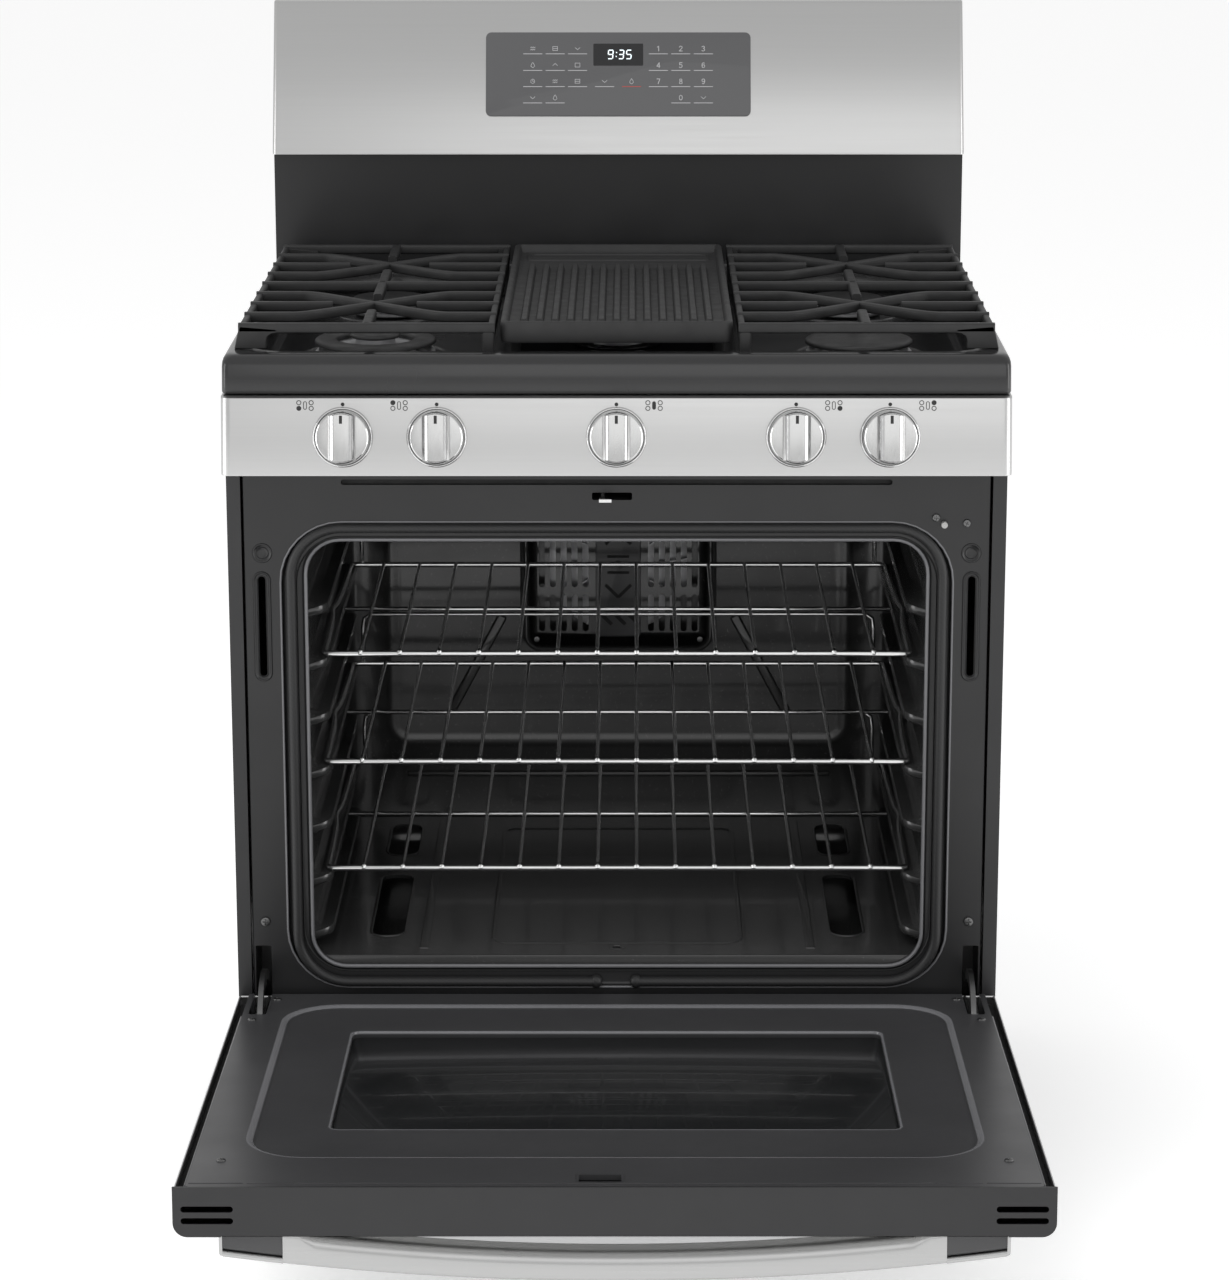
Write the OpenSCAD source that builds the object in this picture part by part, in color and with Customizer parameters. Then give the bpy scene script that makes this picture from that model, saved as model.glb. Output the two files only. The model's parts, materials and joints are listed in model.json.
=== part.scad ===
// Freestanding 30 inch gas range with its oven door open, in millimetres.
// Distances along Y inside the modules run from the front plane of the oven frame
// (Y = 0) back to the wall side; place() moves everything to the shared origin.

/* [Body] */
// Overall width of the range
body_w = 759; // [756:0.5:762]
// Depth from the oven frame to the rear panel
body_d = 635; // [630:1:640]
// Height of the cooktop rim
cooktop_z = 919; // [919:0.5:921]
// Overall height to the top of the backguard
total_h = 1200; // [1195:1:1205]
// Thickness of the sheet metal
sheet = 1.2; // [1:0.1:1.4]

/* [Oven] */
// Width of the oven opening
mouth_w = 606; // [600:1:608]
// Lower edge of the oven opening
mouth_low = 295; // [293:1:296]
// Upper edge of the oven opening
mouth_high = 731; // [728:1:734]
// Vertical distance between two rack positions
rack_pitch = 55.75; // [55:0.25:56]
// Angle of the open door from its closed position
door_open = 87; // [80:0.5:88]

/* [Burners] */
// Sideways distance of the outer burners from the middle
burner_x = 242; // [241:0.5:243]
// Distance between neighbouring cross bars of a grate
bar_pitch = 62; // [61:0.5:62]
// Height of the top of the grates
grate_z = 944; // [943:0.5:946]

/* [Controls] */
// Diameter of a burner knob
knob_d = 51; // [48:0.5:52]
// How far a knob is pushed in before it turns
knob_push = 3; // [2:0.5:3]

/* [Hidden] */
$fn = 64;
frame_y = -30;          // the oven frame's front plane in the shared frame
half_w = body_w / 2;
frame_half = 365;       // half width of the black oven frame
frame_top = 806.5;
frame_low = 222;
step_half = 328.6;      // recess around the oven opening
step_low = 273;
step_high = 751;
step_deep = 6;          // back of the recess, where the liner's flange lies
liner_half = 305;       // inside of the oven cavity
liner_low = 262;
liner_high = 760;
liner_back = 478;
floor_z = 304;
rack_half = 294;
rack_wire = 3;
rack_first = 329.25;    // height of the lowest rack position
rack_count = 7;
rack_front = 40;
rack_back = 418;
pivot_y = -28;          // hinge line of the door
pivot_z = 249;
door_half = 379;
door_out = -24;         // faces of the door, from the hinge line, when closed
door_in = 21;
door_bottom = -22;
door_top = 547;
hinge_x = 351.5;
panel_low = [-49, 807];     // lower and upper front edges of the control panel
panel_high = [-36, 881];
panel_tilt = atan2(panel_high[0] - panel_low[0], panel_high[1] - panel_low[1]);
knob_z = 844;
knob_y = panel_high[0] + (panel_low[0] - panel_high[0]) *
         (panel_high[1] - knob_z) / (panel_high[1] - panel_low[1]);
knob_xs = [-262, -172, 0, 172, 262];
well_z = 889;           // floor of the cooktop well
riser_y = 573;
head_low = [551, 1038];     // lower and upper front edges of the backguard head
head_high = [609, total_h];
head_lean = atan2(head_high[0] - head_low[0], head_high[1] - head_low[1]);
touch_z = 1122.75;
grate_front = 21;
bar_count = 9;          // cross bars of a grate
grate_in = 118;         // inner and outer edges of a side grate
grate_out = 366;
bar_w = 8.5;
bar_h = 10;
front_burner_y = grate_front + 2 * bar_pitch;
rear_burner_y = grate_front + 6 * bar_pitch;
middle_burner_y = grate_front + 4 * bar_pitch;
slack = 0.05;           // radial clearance of a running fit
ear_x = 357;            // hinge pin: inner face of its ear, and its radius
pin_r = 4;
arc_in = 40;            // inner and outer radius of the hinge arm's curve
arc_out = 50;
handle_half = 341;
handle_low = 504;
handle_high = 536;
grip_half = 286;        // half length of the grip between the brackets
switch_x = 319;         // door switch
switch_z = 749;

// ---------------------------------------------------------------- helpers

// Moves the range from its frame plane to the shared origin
module place() {
    translate([0, frame_y, 0]) children();
}

// Box between two corners
module block(low, high) {
    translate(low) cube(high - low);
}

// Box that is symmetric about the middle plane of the range
module wide_block(half, y0, y1, z0, z1) {
    block([-half, y0, z0], [half, y1, z1]);
}

// The children and their mirror image in X
module both_sides() {
    children();
    mirror([1, 0, 0]) children();
}

// Rectangle with round corners, centred
module round_rect(w, h, r) {
    square([w - 2 * r, h], center = true);
    square([w, h - 2 * r], center = true);
    for (sx = [-1, 1], sy = [-1, 1])
        translate([sx * (w / 2 - r), sy * (h / 2 - r)]) circle(r = r);
}

// Upright sheet: a drawing in X and Z, from y0 to y1
module upright(y0, y1) {
    translate([0, y1, 0]) rotate([90, 0, 0]) linear_extrude(y1 - y0) children();
}

// Upright sheet with round corners between two heights
module upright_rect(half, z0, z1, r, y0, y1) {
    upright(y0, y1) translate([0, (z0 + z1) / 2]) round_rect(2 * half, z1 - z0, r);
}

// A drawing in Y and Z, drawn out along X
module along_x(x0, x1) {
    translate([x0, 0, 0]) rotate([90, 0, 90]) linear_extrude(x1 - x0) children();
}

// Round bars along each axis
module bar_x(x0, x1, y, z, r) {
    translate([x0, y, z]) rotate([0, 90, 0]) cylinder(r = r, h = x1 - x0);
}
module bar_y(x, y0, y1, z, r) {
    translate([x, y1, z]) rotate([90, 0, 0]) cylinder(r = r, h = y1 - y0);
}
module bar_z(x, y, z0, z1, r) {
    translate([x, y, z0]) cylinder(r = r, h = z1 - z0);
}

// Vertical slot with round ends, cut through an upright sheet
module slot_z(x, z0, z1, w, y0, y1) {
    upright(y0, y1) translate([x, (z0 + z1) / 2]) round_rect(w, z1 - z0, w / 2 - 0.01);
}

// Door parts are drawn closed, from the hinge line, and turned to the open position
module on_door() {
    place() translate([0, pivot_y, pivot_z]) rotate([door_open, 0, 0]) children();
}

// Control parts are drawn with Z along a knob's axis, out of the panel
module on_panel(x) {
    place() translate([x, knob_y, knob_z]) rotate([90 - panel_tilt, 0, 0]) children();
}

// Parts on the backguard face: X sideways, Y up the face, Z out of it
module on_head() {
    share = (touch_z - head_low[1]) / (head_high[1] - head_low[1]);
    y = head_low[0] + share * (head_high[0] - head_low[0]);
    place() translate([0, y, touch_z]) rotate([90 - head_lean, 0, 0]) children();
}

// ---------------------------------------------------------------- casing

module side_panel() {
    top = 881.5;
    low = 45;
    flange = 13.5;
    lip = 12;
    place() {
        block([half_w - sheet, -sheet, low], [half_w, body_d - 2, top]);
        block([half_w - flange, -sheet, low], [half_w, 0, panel_low[1] - 1]);
        block([half_w - flange, -sheet, low + 2], [half_w - flange + sheet, lip, panel_low[1] - 1]);
        block([half_w - flange, body_d - 2 - sheet, low], [half_w, body_d - 2, top]);
    }
}

module side_panel_left() {
    color("dimgray") mirror([1, 0, 0]) side_panel();
}

module side_panel_right() {
    color("dimgray") side_panel();
}

module rear_panel() {
    louvre_w = 60;
    louvre_h = 6;
    cord_x = -300;
    cord_z = 170;
    color("silver") place() {
        difference() {
            wide_block(half_w, body_d - 2, body_d - 0.8, 144, 881.5);
            for (row = [0:5], column = [-1.5:1:1.5])
                translate([column * 110 - louvre_w / 2, body_d - 3, 690 + row * 26])
                    cube([louvre_w, 4, louvre_h]);
            bar_y(cord_x, body_d - 3, body_d, cord_z, 9);
        }
        // cord gland: a moulded bush in the sheet, with its own hole
        difference() {
            bar_y(cord_x, body_d - 12, body_d, cord_z, 8.9);
            bar_y(cord_x, body_d - 13, body_d + 1, cord_z, 4);
        }
    }
}

module base_chassis() {
    rail_end = 560;
    color("silver") place() {
        difference() {
            union() {
                wide_block(half_w - sheet - 0.1, 2, body_d - 4, 45, 46.5);
                wide_block(half_w - 15, 2, 3.5, 46.5, 62);
                wide_block(half_w - 15, body_d - 6, body_d - 4.5, 46.5, 62);
                for (sx = [-1, 1], y = [45, 590]) bar_z(sx * 330, y, 46, 64, 13);
            }
            for (sx = [-1, 1], y = [45, 590]) bar_z(sx * 330, y, 40, 70, 4 + slack);
            for (x = [-160:160:160]) bar_z(x, 330, 40, 50, 30);
        }
        // drawer rails on brackets from the side panels
        both_sides() {
            block([321, 6, 101], [334, rail_end, 103.6]);
            block([332, 6, 101], [334, rail_end, 119]);
            block([321, 6, 116.4], [334, rail_end, 119]);
            for (y = [14, 270, 530])
                block([334, y, 104], [half_w - sheet, y + 22, 116]);
        }
    }
}

module front_frame() {
    plate = 1.5;
    color([0.16, 0.16, 0.17]) place() difference() {
        union() {
            wide_block(frame_half, 0, plate, frame_low, frame_top);
            upright_rect(step_half + plate, step_low - plate, step_high + plate, 60 + plate, 0,
                         step_deep);
            wide_block(frame_half, plate, 18, frame_top - plate, frame_top);
            wide_block(frame_half, plate, 18, frame_low, frame_low + plate);
        }
        upright_rect(step_half, step_low, step_high, 60, -1, step_deep - plate);
        upright_rect(mouth_w / 2, mouth_low, mouth_high, 33, -10, 10);
        block([-24, -5, 773], [15, 10, 780.5]);
        both_sides() {
            block([346, -5, 238], [361.5, 10, 316]);
            slot_z(347, 595, 697, 8.4, -5, 10);
            bar_y(346, -5, 10, 720, 5.6);
            block([hinge_x - 9, 3, 215], [hinge_x + 9, 30, 230]);
        }
        block([-268, -5, 788], [268, 10, 793.5]);
        bar_y(switch_x, -5, 10, switch_z, 3.3);
    }
}

// ---------------------------------------------------------------- oven

function rack_z(i) = rack_first + i * rack_pitch;

module oven_liner() {
    ledge = 20;
    ledge_h = 6;
    gap = 0.2;
    wall = sheet;
    color([0.1, 0.1, 0.11]) place() difference() {
        union() {
            difference() {
                wide_block(liner_half + wall, step_deep, liner_back + wall, liner_low - wall,
                           liner_high + wall);
                wide_block(liner_half, 0, liner_back, liner_low, liner_high);
            }
            difference() {
                wide_block(320, step_deep, step_deep + wall, 252, 770);
                wide_block(liner_half, 0, 10, liner_low, liner_high);
            }
            // rack ledges pressed out of the side walls
            for (i = [0:rack_count - 1]) {
                top = rack_z(i) - rack_wire - gap;
                both_sides() difference() {
                    block([liner_half - ledge, 20, top - ledge_h], [liner_half + 0.5, 440, top]);
                    block([liner_half - ledge + wall, 20 + wall, top - ledge_h + wall],
                          [liner_half + 2, 440 - wall, top - wall]);
                }
            }
        }
        bar_y(switch_x, 0, 10, switch_z, 6);
        bar_y(0, liner_back - 5, liner_back + 5, 600, 7);
        bar_y(0, liner_back - 5, liner_back + 5, 282, 15);
        bar_y(0, liner_back - 5, liner_back + 5, 740, 11);
        bar_y(-230, liner_back - 5, liner_back + 5, 690, 20);
        bar_y(150, liner_back - 5, liner_back + 5, 725, 7);
    }
}

module oven_floor() {
    half = liner_half - 1.5;
    leg = 2;
    floor_front = step_deep + 1;
    color([0.12, 0.12, 0.13]) place() difference() {
        union() {
            wide_block(half, floor_front, 470, floor_z - 2, floor_z);
            both_sides() block([half - leg, floor_front, liner_low], [half, 470, floor_z - 1]);
        }
        both_sides() {
            translate([234, 164, floor_z - 10]) linear_extrude(20) round_rect(32, 196, 15);
            translate([234, 386, floor_z - 10]) linear_extrude(20) round_rect(32, 108, 15);
        }
        bar_z(0, 30, floor_z - 10, floor_z + 10, 4);
    }
}

module fan_cover() {
    half = 105;
    low = 500;
    high = 700;
    front = liner_back - 26;
    color([0.1, 0.1, 0.11]) place() difference() {
        upright_rect(half, low, high, 20, front, liner_back);
        upright_rect(half - sheet, low + sheet, high - sheet, 19, front + sheet, liner_back + 1);
        for (x = [-78:12:78])
            if (abs(x) > 20) slot_z(x, 540, 660, 5, front - 1, front + 3);
    }
}

module fan_blade() {
    axis_z = 600;
    disc_y = liner_back - 10;
    color("silver") place() {
        bar_y(0, disc_y - 8, disc_y, axis_z, 12);
        bar_y(0, disc_y, disc_y + sheet, axis_z, 80);
        bar_y(0, disc_y, 520, axis_z, 4);
        translate([0, 0, axis_z]) for (a = [0:30:330]) rotate([0, a, 0])
            block([40, disc_y - 9, -0.8], [78, disc_y + 0.5, 0.8]);
    }
}

module fan_motor() {
    front = 500;
    color("slategray") place() difference() {
        union() {
            bar_y(0, front, front + 42, 600, 38);
            for (a = [90, 210, 330])
                bar_y(30 * cos(a), liner_back + sheet, front + 1, 600 + 30 * sin(a), 4);
        }
        bar_y(0, front - 1, front + 22, 600, 4 + slack);
    }
}

module bake_burner() {
    z = 282;
    color("silver") place() difference() {
        union() {
            bar_y(0, 60, 530, z, 14);
            wide_block(50, 80, 460, z - 1, z + 1);
        }
        bar_y(0, 62, 540, z, 12.8);
    }
}

module broil_burner() {
    z = 740;
    color("silver") place() difference() {
        union() {
            bar_y(0, 100, 530, z, 10);
            wide_block(70, 110, 440, z - 1, z + 1);
            wide_block(70, 108, 110, z - 1, liner_high);
            wide_block(70, 440, 442, z - 1, liner_high);
        }
        bar_y(0, 102, 540, z, 8.8);
    }
}

module oven_insulation() {
    half = 337;
    color("khaki") place() difference() {
        wide_block(half, step_deep + 2, 545, 236, 791);
        wide_block(liner_half + 2, 0, liner_back + 2, liner_low - 2, liner_high + 2);
        block([-62, 0, 762], [32, 78, 800]);
        bar_y(switch_x, 0, 24, switch_z, 6.5);
        bar_y(0, 470, 560, 600, 46);
        bar_y(0, 470, 560, 282, 18);
        bar_y(0, 470, 560, 740, 14);
        bar_y(-230, 470, 560, 690, 25);
        bar_y(150, 470, 560, 725, 10);
    }
}

module oven_lamp() {
    x = -230;
    z = 690;
    color("lightyellow") place() {
        bar_y(x, 446, liner_back + sheet, z, 18);
        translate([x, 446, z]) sphere(r = 18);
        bar_y(x, liner_back + sheet, 520, z, 22);
    }
}

module temp_probe() {
    x = 150;
    z = 725;
    color("silver") place() {
        bar_y(x, 380, 485, z, 2.5);
        block([x - 15, liner_back - 1.4, z - 9], [x + 15, liner_back, z + 9]);
        bar_y(x, 485, 510, z, 6);
    }
}

module door_gasket() {
    front = -6.7;
    back = step_deep - 1.5;
    color([0.08, 0.08, 0.08]) place() difference() {
        upright_rect(316, 282, 744, 46, front, back);
        upright_rect(mouth_w / 2 + 3, mouth_low - 3, mouth_high + 3, 35, front - 1, back + 1);
        block([-28, front - 1, 280], [1, back + 1, 295]);
    }
}

// Wires of a rack: front and rear bars, stepped sides and lengthwise wires
module rack(z) {
    wire_half = 255;
    wires = 14;
    thin = 2;
    middle = rack_front + 0.46 * (rack_back - rack_front);
    side = rack_half - rack_wire;
    rise = 56;
    color("gainsboro") place() {
        bar_x(-side, side, rack_front, z, rack_wire);
        bar_x(-side, side, rack_back, z, rack_wire);
        bar_x(-side + 8, side - 8, middle, z - 2.5, rack_wire - 0.5);
        bar_x(-side + 12, side - 12, rack_back, z + rise, rack_wire - 0.5);
        both_sides() {
            bar_y(side, rack_front, rack_back, z, rack_wire);
            translate([side, rack_front, z]) sphere(r = rack_wire);
            translate([side, rack_back, z]) sphere(r = rack_wire);
            bar_z(side - 12, rack_back, z, z + rise + 2, rack_wire - 0.5);
        }
        for (i = [0:wires - 1])
            bar_y(-wire_half + i * 2 * wire_half / (wires - 1), rack_front - 2, rack_back, z + 1,
                  thin);
    }
}

module rack_top() {
    rack(rack_z(5));
}

module rack_middle() {
    rack(rack_z(3));
}

module rack_bottom() {
    rack(rack_z(1));
}

// ---------------------------------------------------------------- cooktop

module cooktop() {
    well_half = 350;
    well_front = 12;
    well_back = 546;
    skin = 2;
    top = cooktop_z;
    apron_low = 882;
    color([0.15, 0.15, 0.16]) place() difference() {
        along_x(-half_w, half_w)
            polygon([[-23, apron_low], [-17, top - 5], [-12, top], [riser_y, top],
                     [riser_y, apron_low]]);
        translate([0, (well_front + well_back) / 2, well_z]) linear_extrude(60)
            round_rect(2 * well_half, well_back - well_front, 30);
        wide_block(half_w - skin, -20, riser_y - skin, apron_low - 5, well_z - skin);
        both_sides() block([well_half + skin, -10, well_z - 4],
                           [half_w - skin, riser_y - skin, top - skin]);
        wide_block(half_w - skin, -10, well_front - skin, well_z - 4, top - skin);
        wide_block(half_w - skin, well_back + skin, riser_y - skin, well_z - 4, top - skin);
        for (sx = [-1, 1], y = [front_burner_y, rear_burner_y])
            bar_z(sx * burner_x, y, well_z - 5, well_z + 5, 19);
        bar_z(0, middle_burner_y, well_z - 5, well_z + 5, 19);
        for (sx = [-1, 1], y = [front_burner_y, rear_burner_y])
            bar_z(sx * burner_x, y + spark_offset(sx, y), well_z - 5, well_z + 5, 4);
        bar_z(0, middle_burner_y + spark_offset(0, middle_burner_y), well_z - 5, well_z + 5, 4);
    }
}

// Radii of the burner heads, and where the igniter stands beside each
function burner_r(sx, y) = sx == 0 ? 32 : y == rear_burner_y ? 40 : sx < 0 ? 60 : 53;
function spark_offset(sx, y) = sx == 0 ? 88 : burner_r(sx, y) + 8;

module burner_base(r) {
    difference() {
        union() {
            cylinder(r = 18, h = 26);
            translate([0, 0, 20]) cylinder(r = r, h = 5);
            translate([0, 0, 25]) cylinder(r = r - 4, h = 7);
        }
        translate([0, 0, -1]) cylinder(r = 15, h = 20);
        for (a = [0:15:345]) rotate([0, 0, a])
            translate([r - 10, -1, 27]) cube([12, 2, 3.5]);
    }
}

module burner_bases() {
    low = well_z - 19;
    color("lightgray") place() {
        for (sx = [-1, 1], y = [front_burner_y, rear_burner_y])
            translate([sx * burner_x, y, low]) burner_base(burner_r(sx, y));
        translate([0, middle_burner_y, low]) {
            cylinder(r = 18, h = 26);
            translate([0, 0, 20]) linear_extrude(12) round_rect(60, 160, 29.9);
        }
    }
}

module burner_caps() {
    low = well_z + 13;
    color([0.13, 0.13, 0.14]) place() {
        for (sx = [-1, 1], y = [front_burner_y, rear_burner_y])
            translate([sx * burner_x, y, low]) {
                cylinder(r = burner_r(sx, y) + 1, h = 4.5);
                translate([0, 0, 4]) cylinder(r = 0.45 * burner_r(sx, y), h = 2.5);
            }
        translate([0, middle_burner_y, low]) linear_extrude(5) round_rect(66, 166, 32.9);
    }
}

module spark_electrodes() {
    color("ivory") place() {
        for (sx = [-1, 1], y = [front_burner_y, rear_burner_y])
            bar_z(sx * burner_x, y + spark_offset(sx, y), well_z - 14, well_z + 11, 3.4);
        bar_z(0, middle_burner_y + spark_offset(0, middle_burner_y), well_z - 14, well_z + 11, 3.4);
    }
}

// Straight bar between two points of the grate's top plane
module grate_bar(p, q, h) {
    d = q - p;
    translate([p[0], p[1], grate_z - h]) rotate([0, 0, atan2(d[1], d[0])])
        translate([0, -bar_w / 2, 0]) cube([norm(d), bar_w, h]);
}

// Fingers round one burner: two straight ones and four that bend and meet in the middle
module burner_fingers(y) {
    bend = 66;
    reach = 42;
    for (sx = [-1, 1]) {
        edge = sx * (grate_out - grate_in) / 2;
        grate_bar([edge, y], [sx * reach, y], bar_h);
        for (sy = [-1, 1])
            grate_bar([edge, y + sy * bar_pitch], [sx * bend, y + sy * bar_pitch], bar_h);
        grate_bar([-bend, y - sx * bar_pitch], [bend, y + sx * bar_pitch], bar_h);
    }
}

module side_grate() {
    half = (grate_out - grate_in) / 2;
    rear = grate_front + (bar_count - 1) * bar_pitch;
    rail_low = 927;
    foot_gap = 0.2;
    rest = cooktop_z + foot_gap;
    color([0.14, 0.14, 0.15]) place() translate([(grate_in + grate_out) / 2, 0, 0]) {
        for (y = [grate_front, middle_burner_y, rear])
            grate_bar([-half, y], [half, y], bar_h);
        burner_fingers(front_burner_y);
        burner_fingers(rear_burner_y);
        grate_bar([0, grate_front], [0, grate_front + 1.2 * bar_pitch], bar_h);
        grate_bar([0, grate_front + 2.7 * bar_pitch], [0, grate_front + 5.2 * bar_pitch], bar_h);
        grate_bar([0, grate_front + 6.7 * bar_pitch], [0, rear], bar_h);
        // lengthwise rails under the bar ends, with legs at the corners
        for (x = [-half, half - bar_w])
            block([x, grate_front - bar_w / 2, rail_low], [x + bar_w, rear + bar_w / 2, grate_z - 2]);
        for (y = [grate_front - bar_w / 2, rear + bar_w / 2 - 13]) {
            block([-half, y, well_z + foot_gap], [-half + 13, y + 13, grate_z - 2]);
            block([half - 32, y, rest], [half, y + 13, grate_z - 2]);
        }
    }
}

module grate_right() {
    side_grate();
}

module grate_left() {
    mirror([1, 0, 0]) side_grate();
}

module griddle() {
    half = 113;
    rear = grate_front + (bar_count - 1) * bar_pitch;
    mid = (grate_front + rear) / 2;
    length = rear - grate_front;
    top = grate_z + 1;
    low = top - 21.5;
    rib_pitch = 15.1;
    foot_gap = 0.2;
    color([0.13, 0.13, 0.14]) place() {
        difference() {
            translate([0, mid, low]) linear_extrude(top - low) round_rect(2 * half, length, 10);
            translate([0, mid, top - 8]) linear_extrude(20)
                round_rect(2 * half - 14, length - 24, 8);
            block([-95, 452, top - 13], [95, 490, top]);
            translate([0, mid, low - 5]) linear_extrude(12)
                round_rect(2 * half - 16, length - 120, 6);
        }
        for (i = [-6:6])
            block([i * rib_pitch - 3.5, 54, top - 9], [i * rib_pitch + 3.5, 402, top - 3]);
        for (sx = [-1, 1], y = [grate_front + 90, rear - 102])
            block([sx * 101 - 6, y, well_z + foot_gap], [sx * 101 + 6, y + 12, low + 8]);
    }
}

// ---------------------------------------------------------------- controls

module control_panel() {
    skin = 1.5;
    ring_out = 29;
    ring_in = knob_d / 2 + 0.8;
    ring_h = 4;
    color("silver") {
        difference() {
            place() difference() {
                along_x(-half_w, half_w)
                    polygon([panel_low, panel_high, [-2, panel_high[1]], [-2, panel_low[1]]]);
                along_x(-half_w + skin, half_w - skin)
                    polygon([panel_low + [skin + 0.3, skin], panel_high + [skin, -skin],
                             [1, panel_high[1] - skin], [1, panel_low[1] + skin]]);
            }
            for (x = knob_xs) on_panel(x) translate([0, 0, -5]) cylinder(r = 6, h = 10);
        }
        for (x = knob_xs) on_panel(x) difference() {
            translate([0, 0, -0.1]) cylinder(r = ring_out, h = ring_h);
            translate([0, 0, -1]) cylinder(r = ring_in, h = ring_h + 2);
        }
    }
}

module knob(i) {
    lift = knob_push + 0.5;
    depth = 28;
    grip_w = 26;
    color("silver") on_panel(knob_xs[i]) difference() {
        union() {
            translate([0, 0, lift]) cylinder(d = knob_d, h = 10);
            intersection() {
                translate([0, 0, lift]) cylinder(d = knob_d - 1, h = depth - lift);
                translate([-grip_w / 2, -knob_d, lift]) cube([grip_w, 2 * knob_d, depth]);
            }
        }
        translate([0, 0, lift - 1]) cylinder(r = 3 + slack, h = 17);
    }
}

module spindle(i) {
    color("goldenrod") on_panel(knob_xs[i]) translate([0, 0, -30]) cylinder(r = 3, h = 48);
}

module gas_manifold() {
    pipe_z = 836;
    pipe_y = 8;
    feed_x = 355;
    feed_y = 600;
    color("tan") {
        difference() {
            union() {
                for (x = knob_xs) on_panel(x) translate([0, 0, -46]) cylinder(r = 12, h = 36);
                place() {
                    bar_x(-300, feed_x, pipe_y, pipe_z, 10);
                    bar_y(feed_x, pipe_y, feed_y, pipe_z, 8);
                    translate([feed_x, feed_y, pipe_z]) sphere(r = 8);
                    translate([feed_x, pipe_y, pipe_z]) sphere(r = 10);
                    bar_z(feed_x, feed_y, 140, pipe_z, 8);
                }
            }
            for (x = knob_xs) on_panel(x) translate([0, 0, -35]) cylinder(r = 3 + slack, h = 60);
        }
    }
}

module gas_regulator() {
    x = 340;
    y = 600;
    color("lightslategray") place() difference() {
        union() {
            bar_z(x, y, 110, 132, 28);
            bar_z(355, y, 130, 140, 11);
            bar_y(x, y - 20, body_d - 2.5, 92, 15);
            bar_z(x, y, 90, 112, 14);
        }
        bar_y(x, y + 5, body_d, 92, 10.3);
    }
}

// ---------------------------------------------------------------- backguard

module backguard_riser() {
    color([0.15, 0.15, 0.16]) place() difference() {
        wide_block(half_w, riser_y, body_d, 882, head_low[1]);
        wide_block(half_w - sheet, riser_y + sheet, body_d - sheet, 880, head_low[1] + 1);
        for (row = [0:3])
            wide_block(150, body_d - 5, body_d + 1, 930 + row * 18, 936 + row * 18);
    }
}

module backguard_head() {
    skin = 1.5;
    back = body_d;
    color("silver") difference() {
        place() difference() {
            along_x(-half_w, half_w)
                polygon([head_low, head_high, [back, head_high[1]], [back, head_low[1]]]);
            along_x(-half_w + skin, half_w - skin)
                polygon([head_low + [skin, skin], head_high + [skin - 0.2, -skin],
                         [back - skin, head_high[1] - skin], [back - skin, head_low[1] + skin]]);
        }
        on_head() translate([0, 0, -5]) linear_extrude(10) round_rect(278, 82, 4);
    }
}

module touch_panel() {
    color([0.25, 0.25, 0.26]) on_head() {
        translate([0, 0, 0.02]) linear_extrude(2) round_rect(291, 94, 6);
        translate([0, 0, -4]) linear_extrude(4.5) round_rect(277, 81, 4);
    }
}

module control_board() {
    color("seagreen") on_head() {
        translate([-110, -32, -14]) cube([220, 64, 1.6]);
        translate([-30, -12, -12.5]) cube([60, 26, 8.3]);
        translate([50, -25, -18]) cube([30, 24, 4.1]);
        for (sx = [-1, 1], sy = [-1, 1])
            translate([sx * 104, sy * 27, -12.5]) cylinder(r = 2.5, h = 8.4);
    }
}

// ---------------------------------------------------------------- hinges and lock

module hinge_receivers() {
    color("silver") place() both_sides() {
        difference() {
            union() {
                bar_x(ear_x, ear_x + 3, pivot_y, pivot_z, 8);
                block([ear_x, pivot_y, pivot_z - 8], [ear_x + 3, 58, pivot_z + 8]);
            }
            bar_x(ear_x - 1, ear_x + 4, pivot_y, pivot_z, pin_r + slack);
        }
        block([343, 1.5, 226], [344.5, 58, 320]);
        block([361.6, 1.5, 226], [363.1, 58, 320]);
        block([343, 57, 226], [363.1, 58.5, 320]);
    }
}

// Arms drawn with the door closed: a curved arm round the hinge line, its web, the
// hinge pin and the plate that holds them in the door
module hinge_arms() {
    color("gainsboro") on_door() both_sides() {
        bar_x(346.5, ear_x + 4, 0, 0, pin_r);
        translate([349, 0, 0]) rotate([0, 90, 0]) rotate([0, 0, 52])
            rotate_extrude(angle = 120) translate([arc_in, 0]) square([arc_out - arc_in, 5]);
        rotate([-14, 0, 0]) block([349, -5, 0], [354, 5, arc_in + 3]);
        block([346.5, -18, -16], [349, 19.5, 130]);
    }
}

module lock_motor() {
    color("slategray") place() difference() {
        union() {
            block([-52, 14, 782], [24, 66, 800]);
            block([-52, 14, 764], [24, 66, 770]);
            block([-52, 58, 764], [24, 66, 800]);
        }
        bar_z(-14, 32, 760, 790, 3 + slack);
    }
}

module lock_hook() {
    reach = -18;
    low = 774.5;
    high = 777.5;
    color("gainsboro") place() {
        bar_z(-14, 32, 765, 789, 3);
        bar_z(-14, 32, low, high, 8);
        block([-17, reach, low], [-11, 32, high]);
        block([-17, reach, low], [-5, reach + 3.5, high]);
    }
}

module door_switch() {
    color("whitesmoke") place() {
        bar_y(switch_x, -6, 14, switch_z, 3);
        bar_y(switch_x, 2, 4, switch_z, 5);
    }
}

// ---------------------------------------------------------------- door

// Side view of the door, closed, with its lower outer edge rounded
module door_profile(inset) {
    r = 10 - inset;
    y0 = door_out + inset;
    z0 = door_bottom + inset;
    depth = 42;
    translate([y0 + r, z0]) square([depth - inset - r, door_top - z0 - 2]);
    translate([y0, z0 + r]) square([depth - inset, door_top - z0 - r - 2]);
    translate([y0 + r, z0 + r]) circle(r = r);
}

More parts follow.
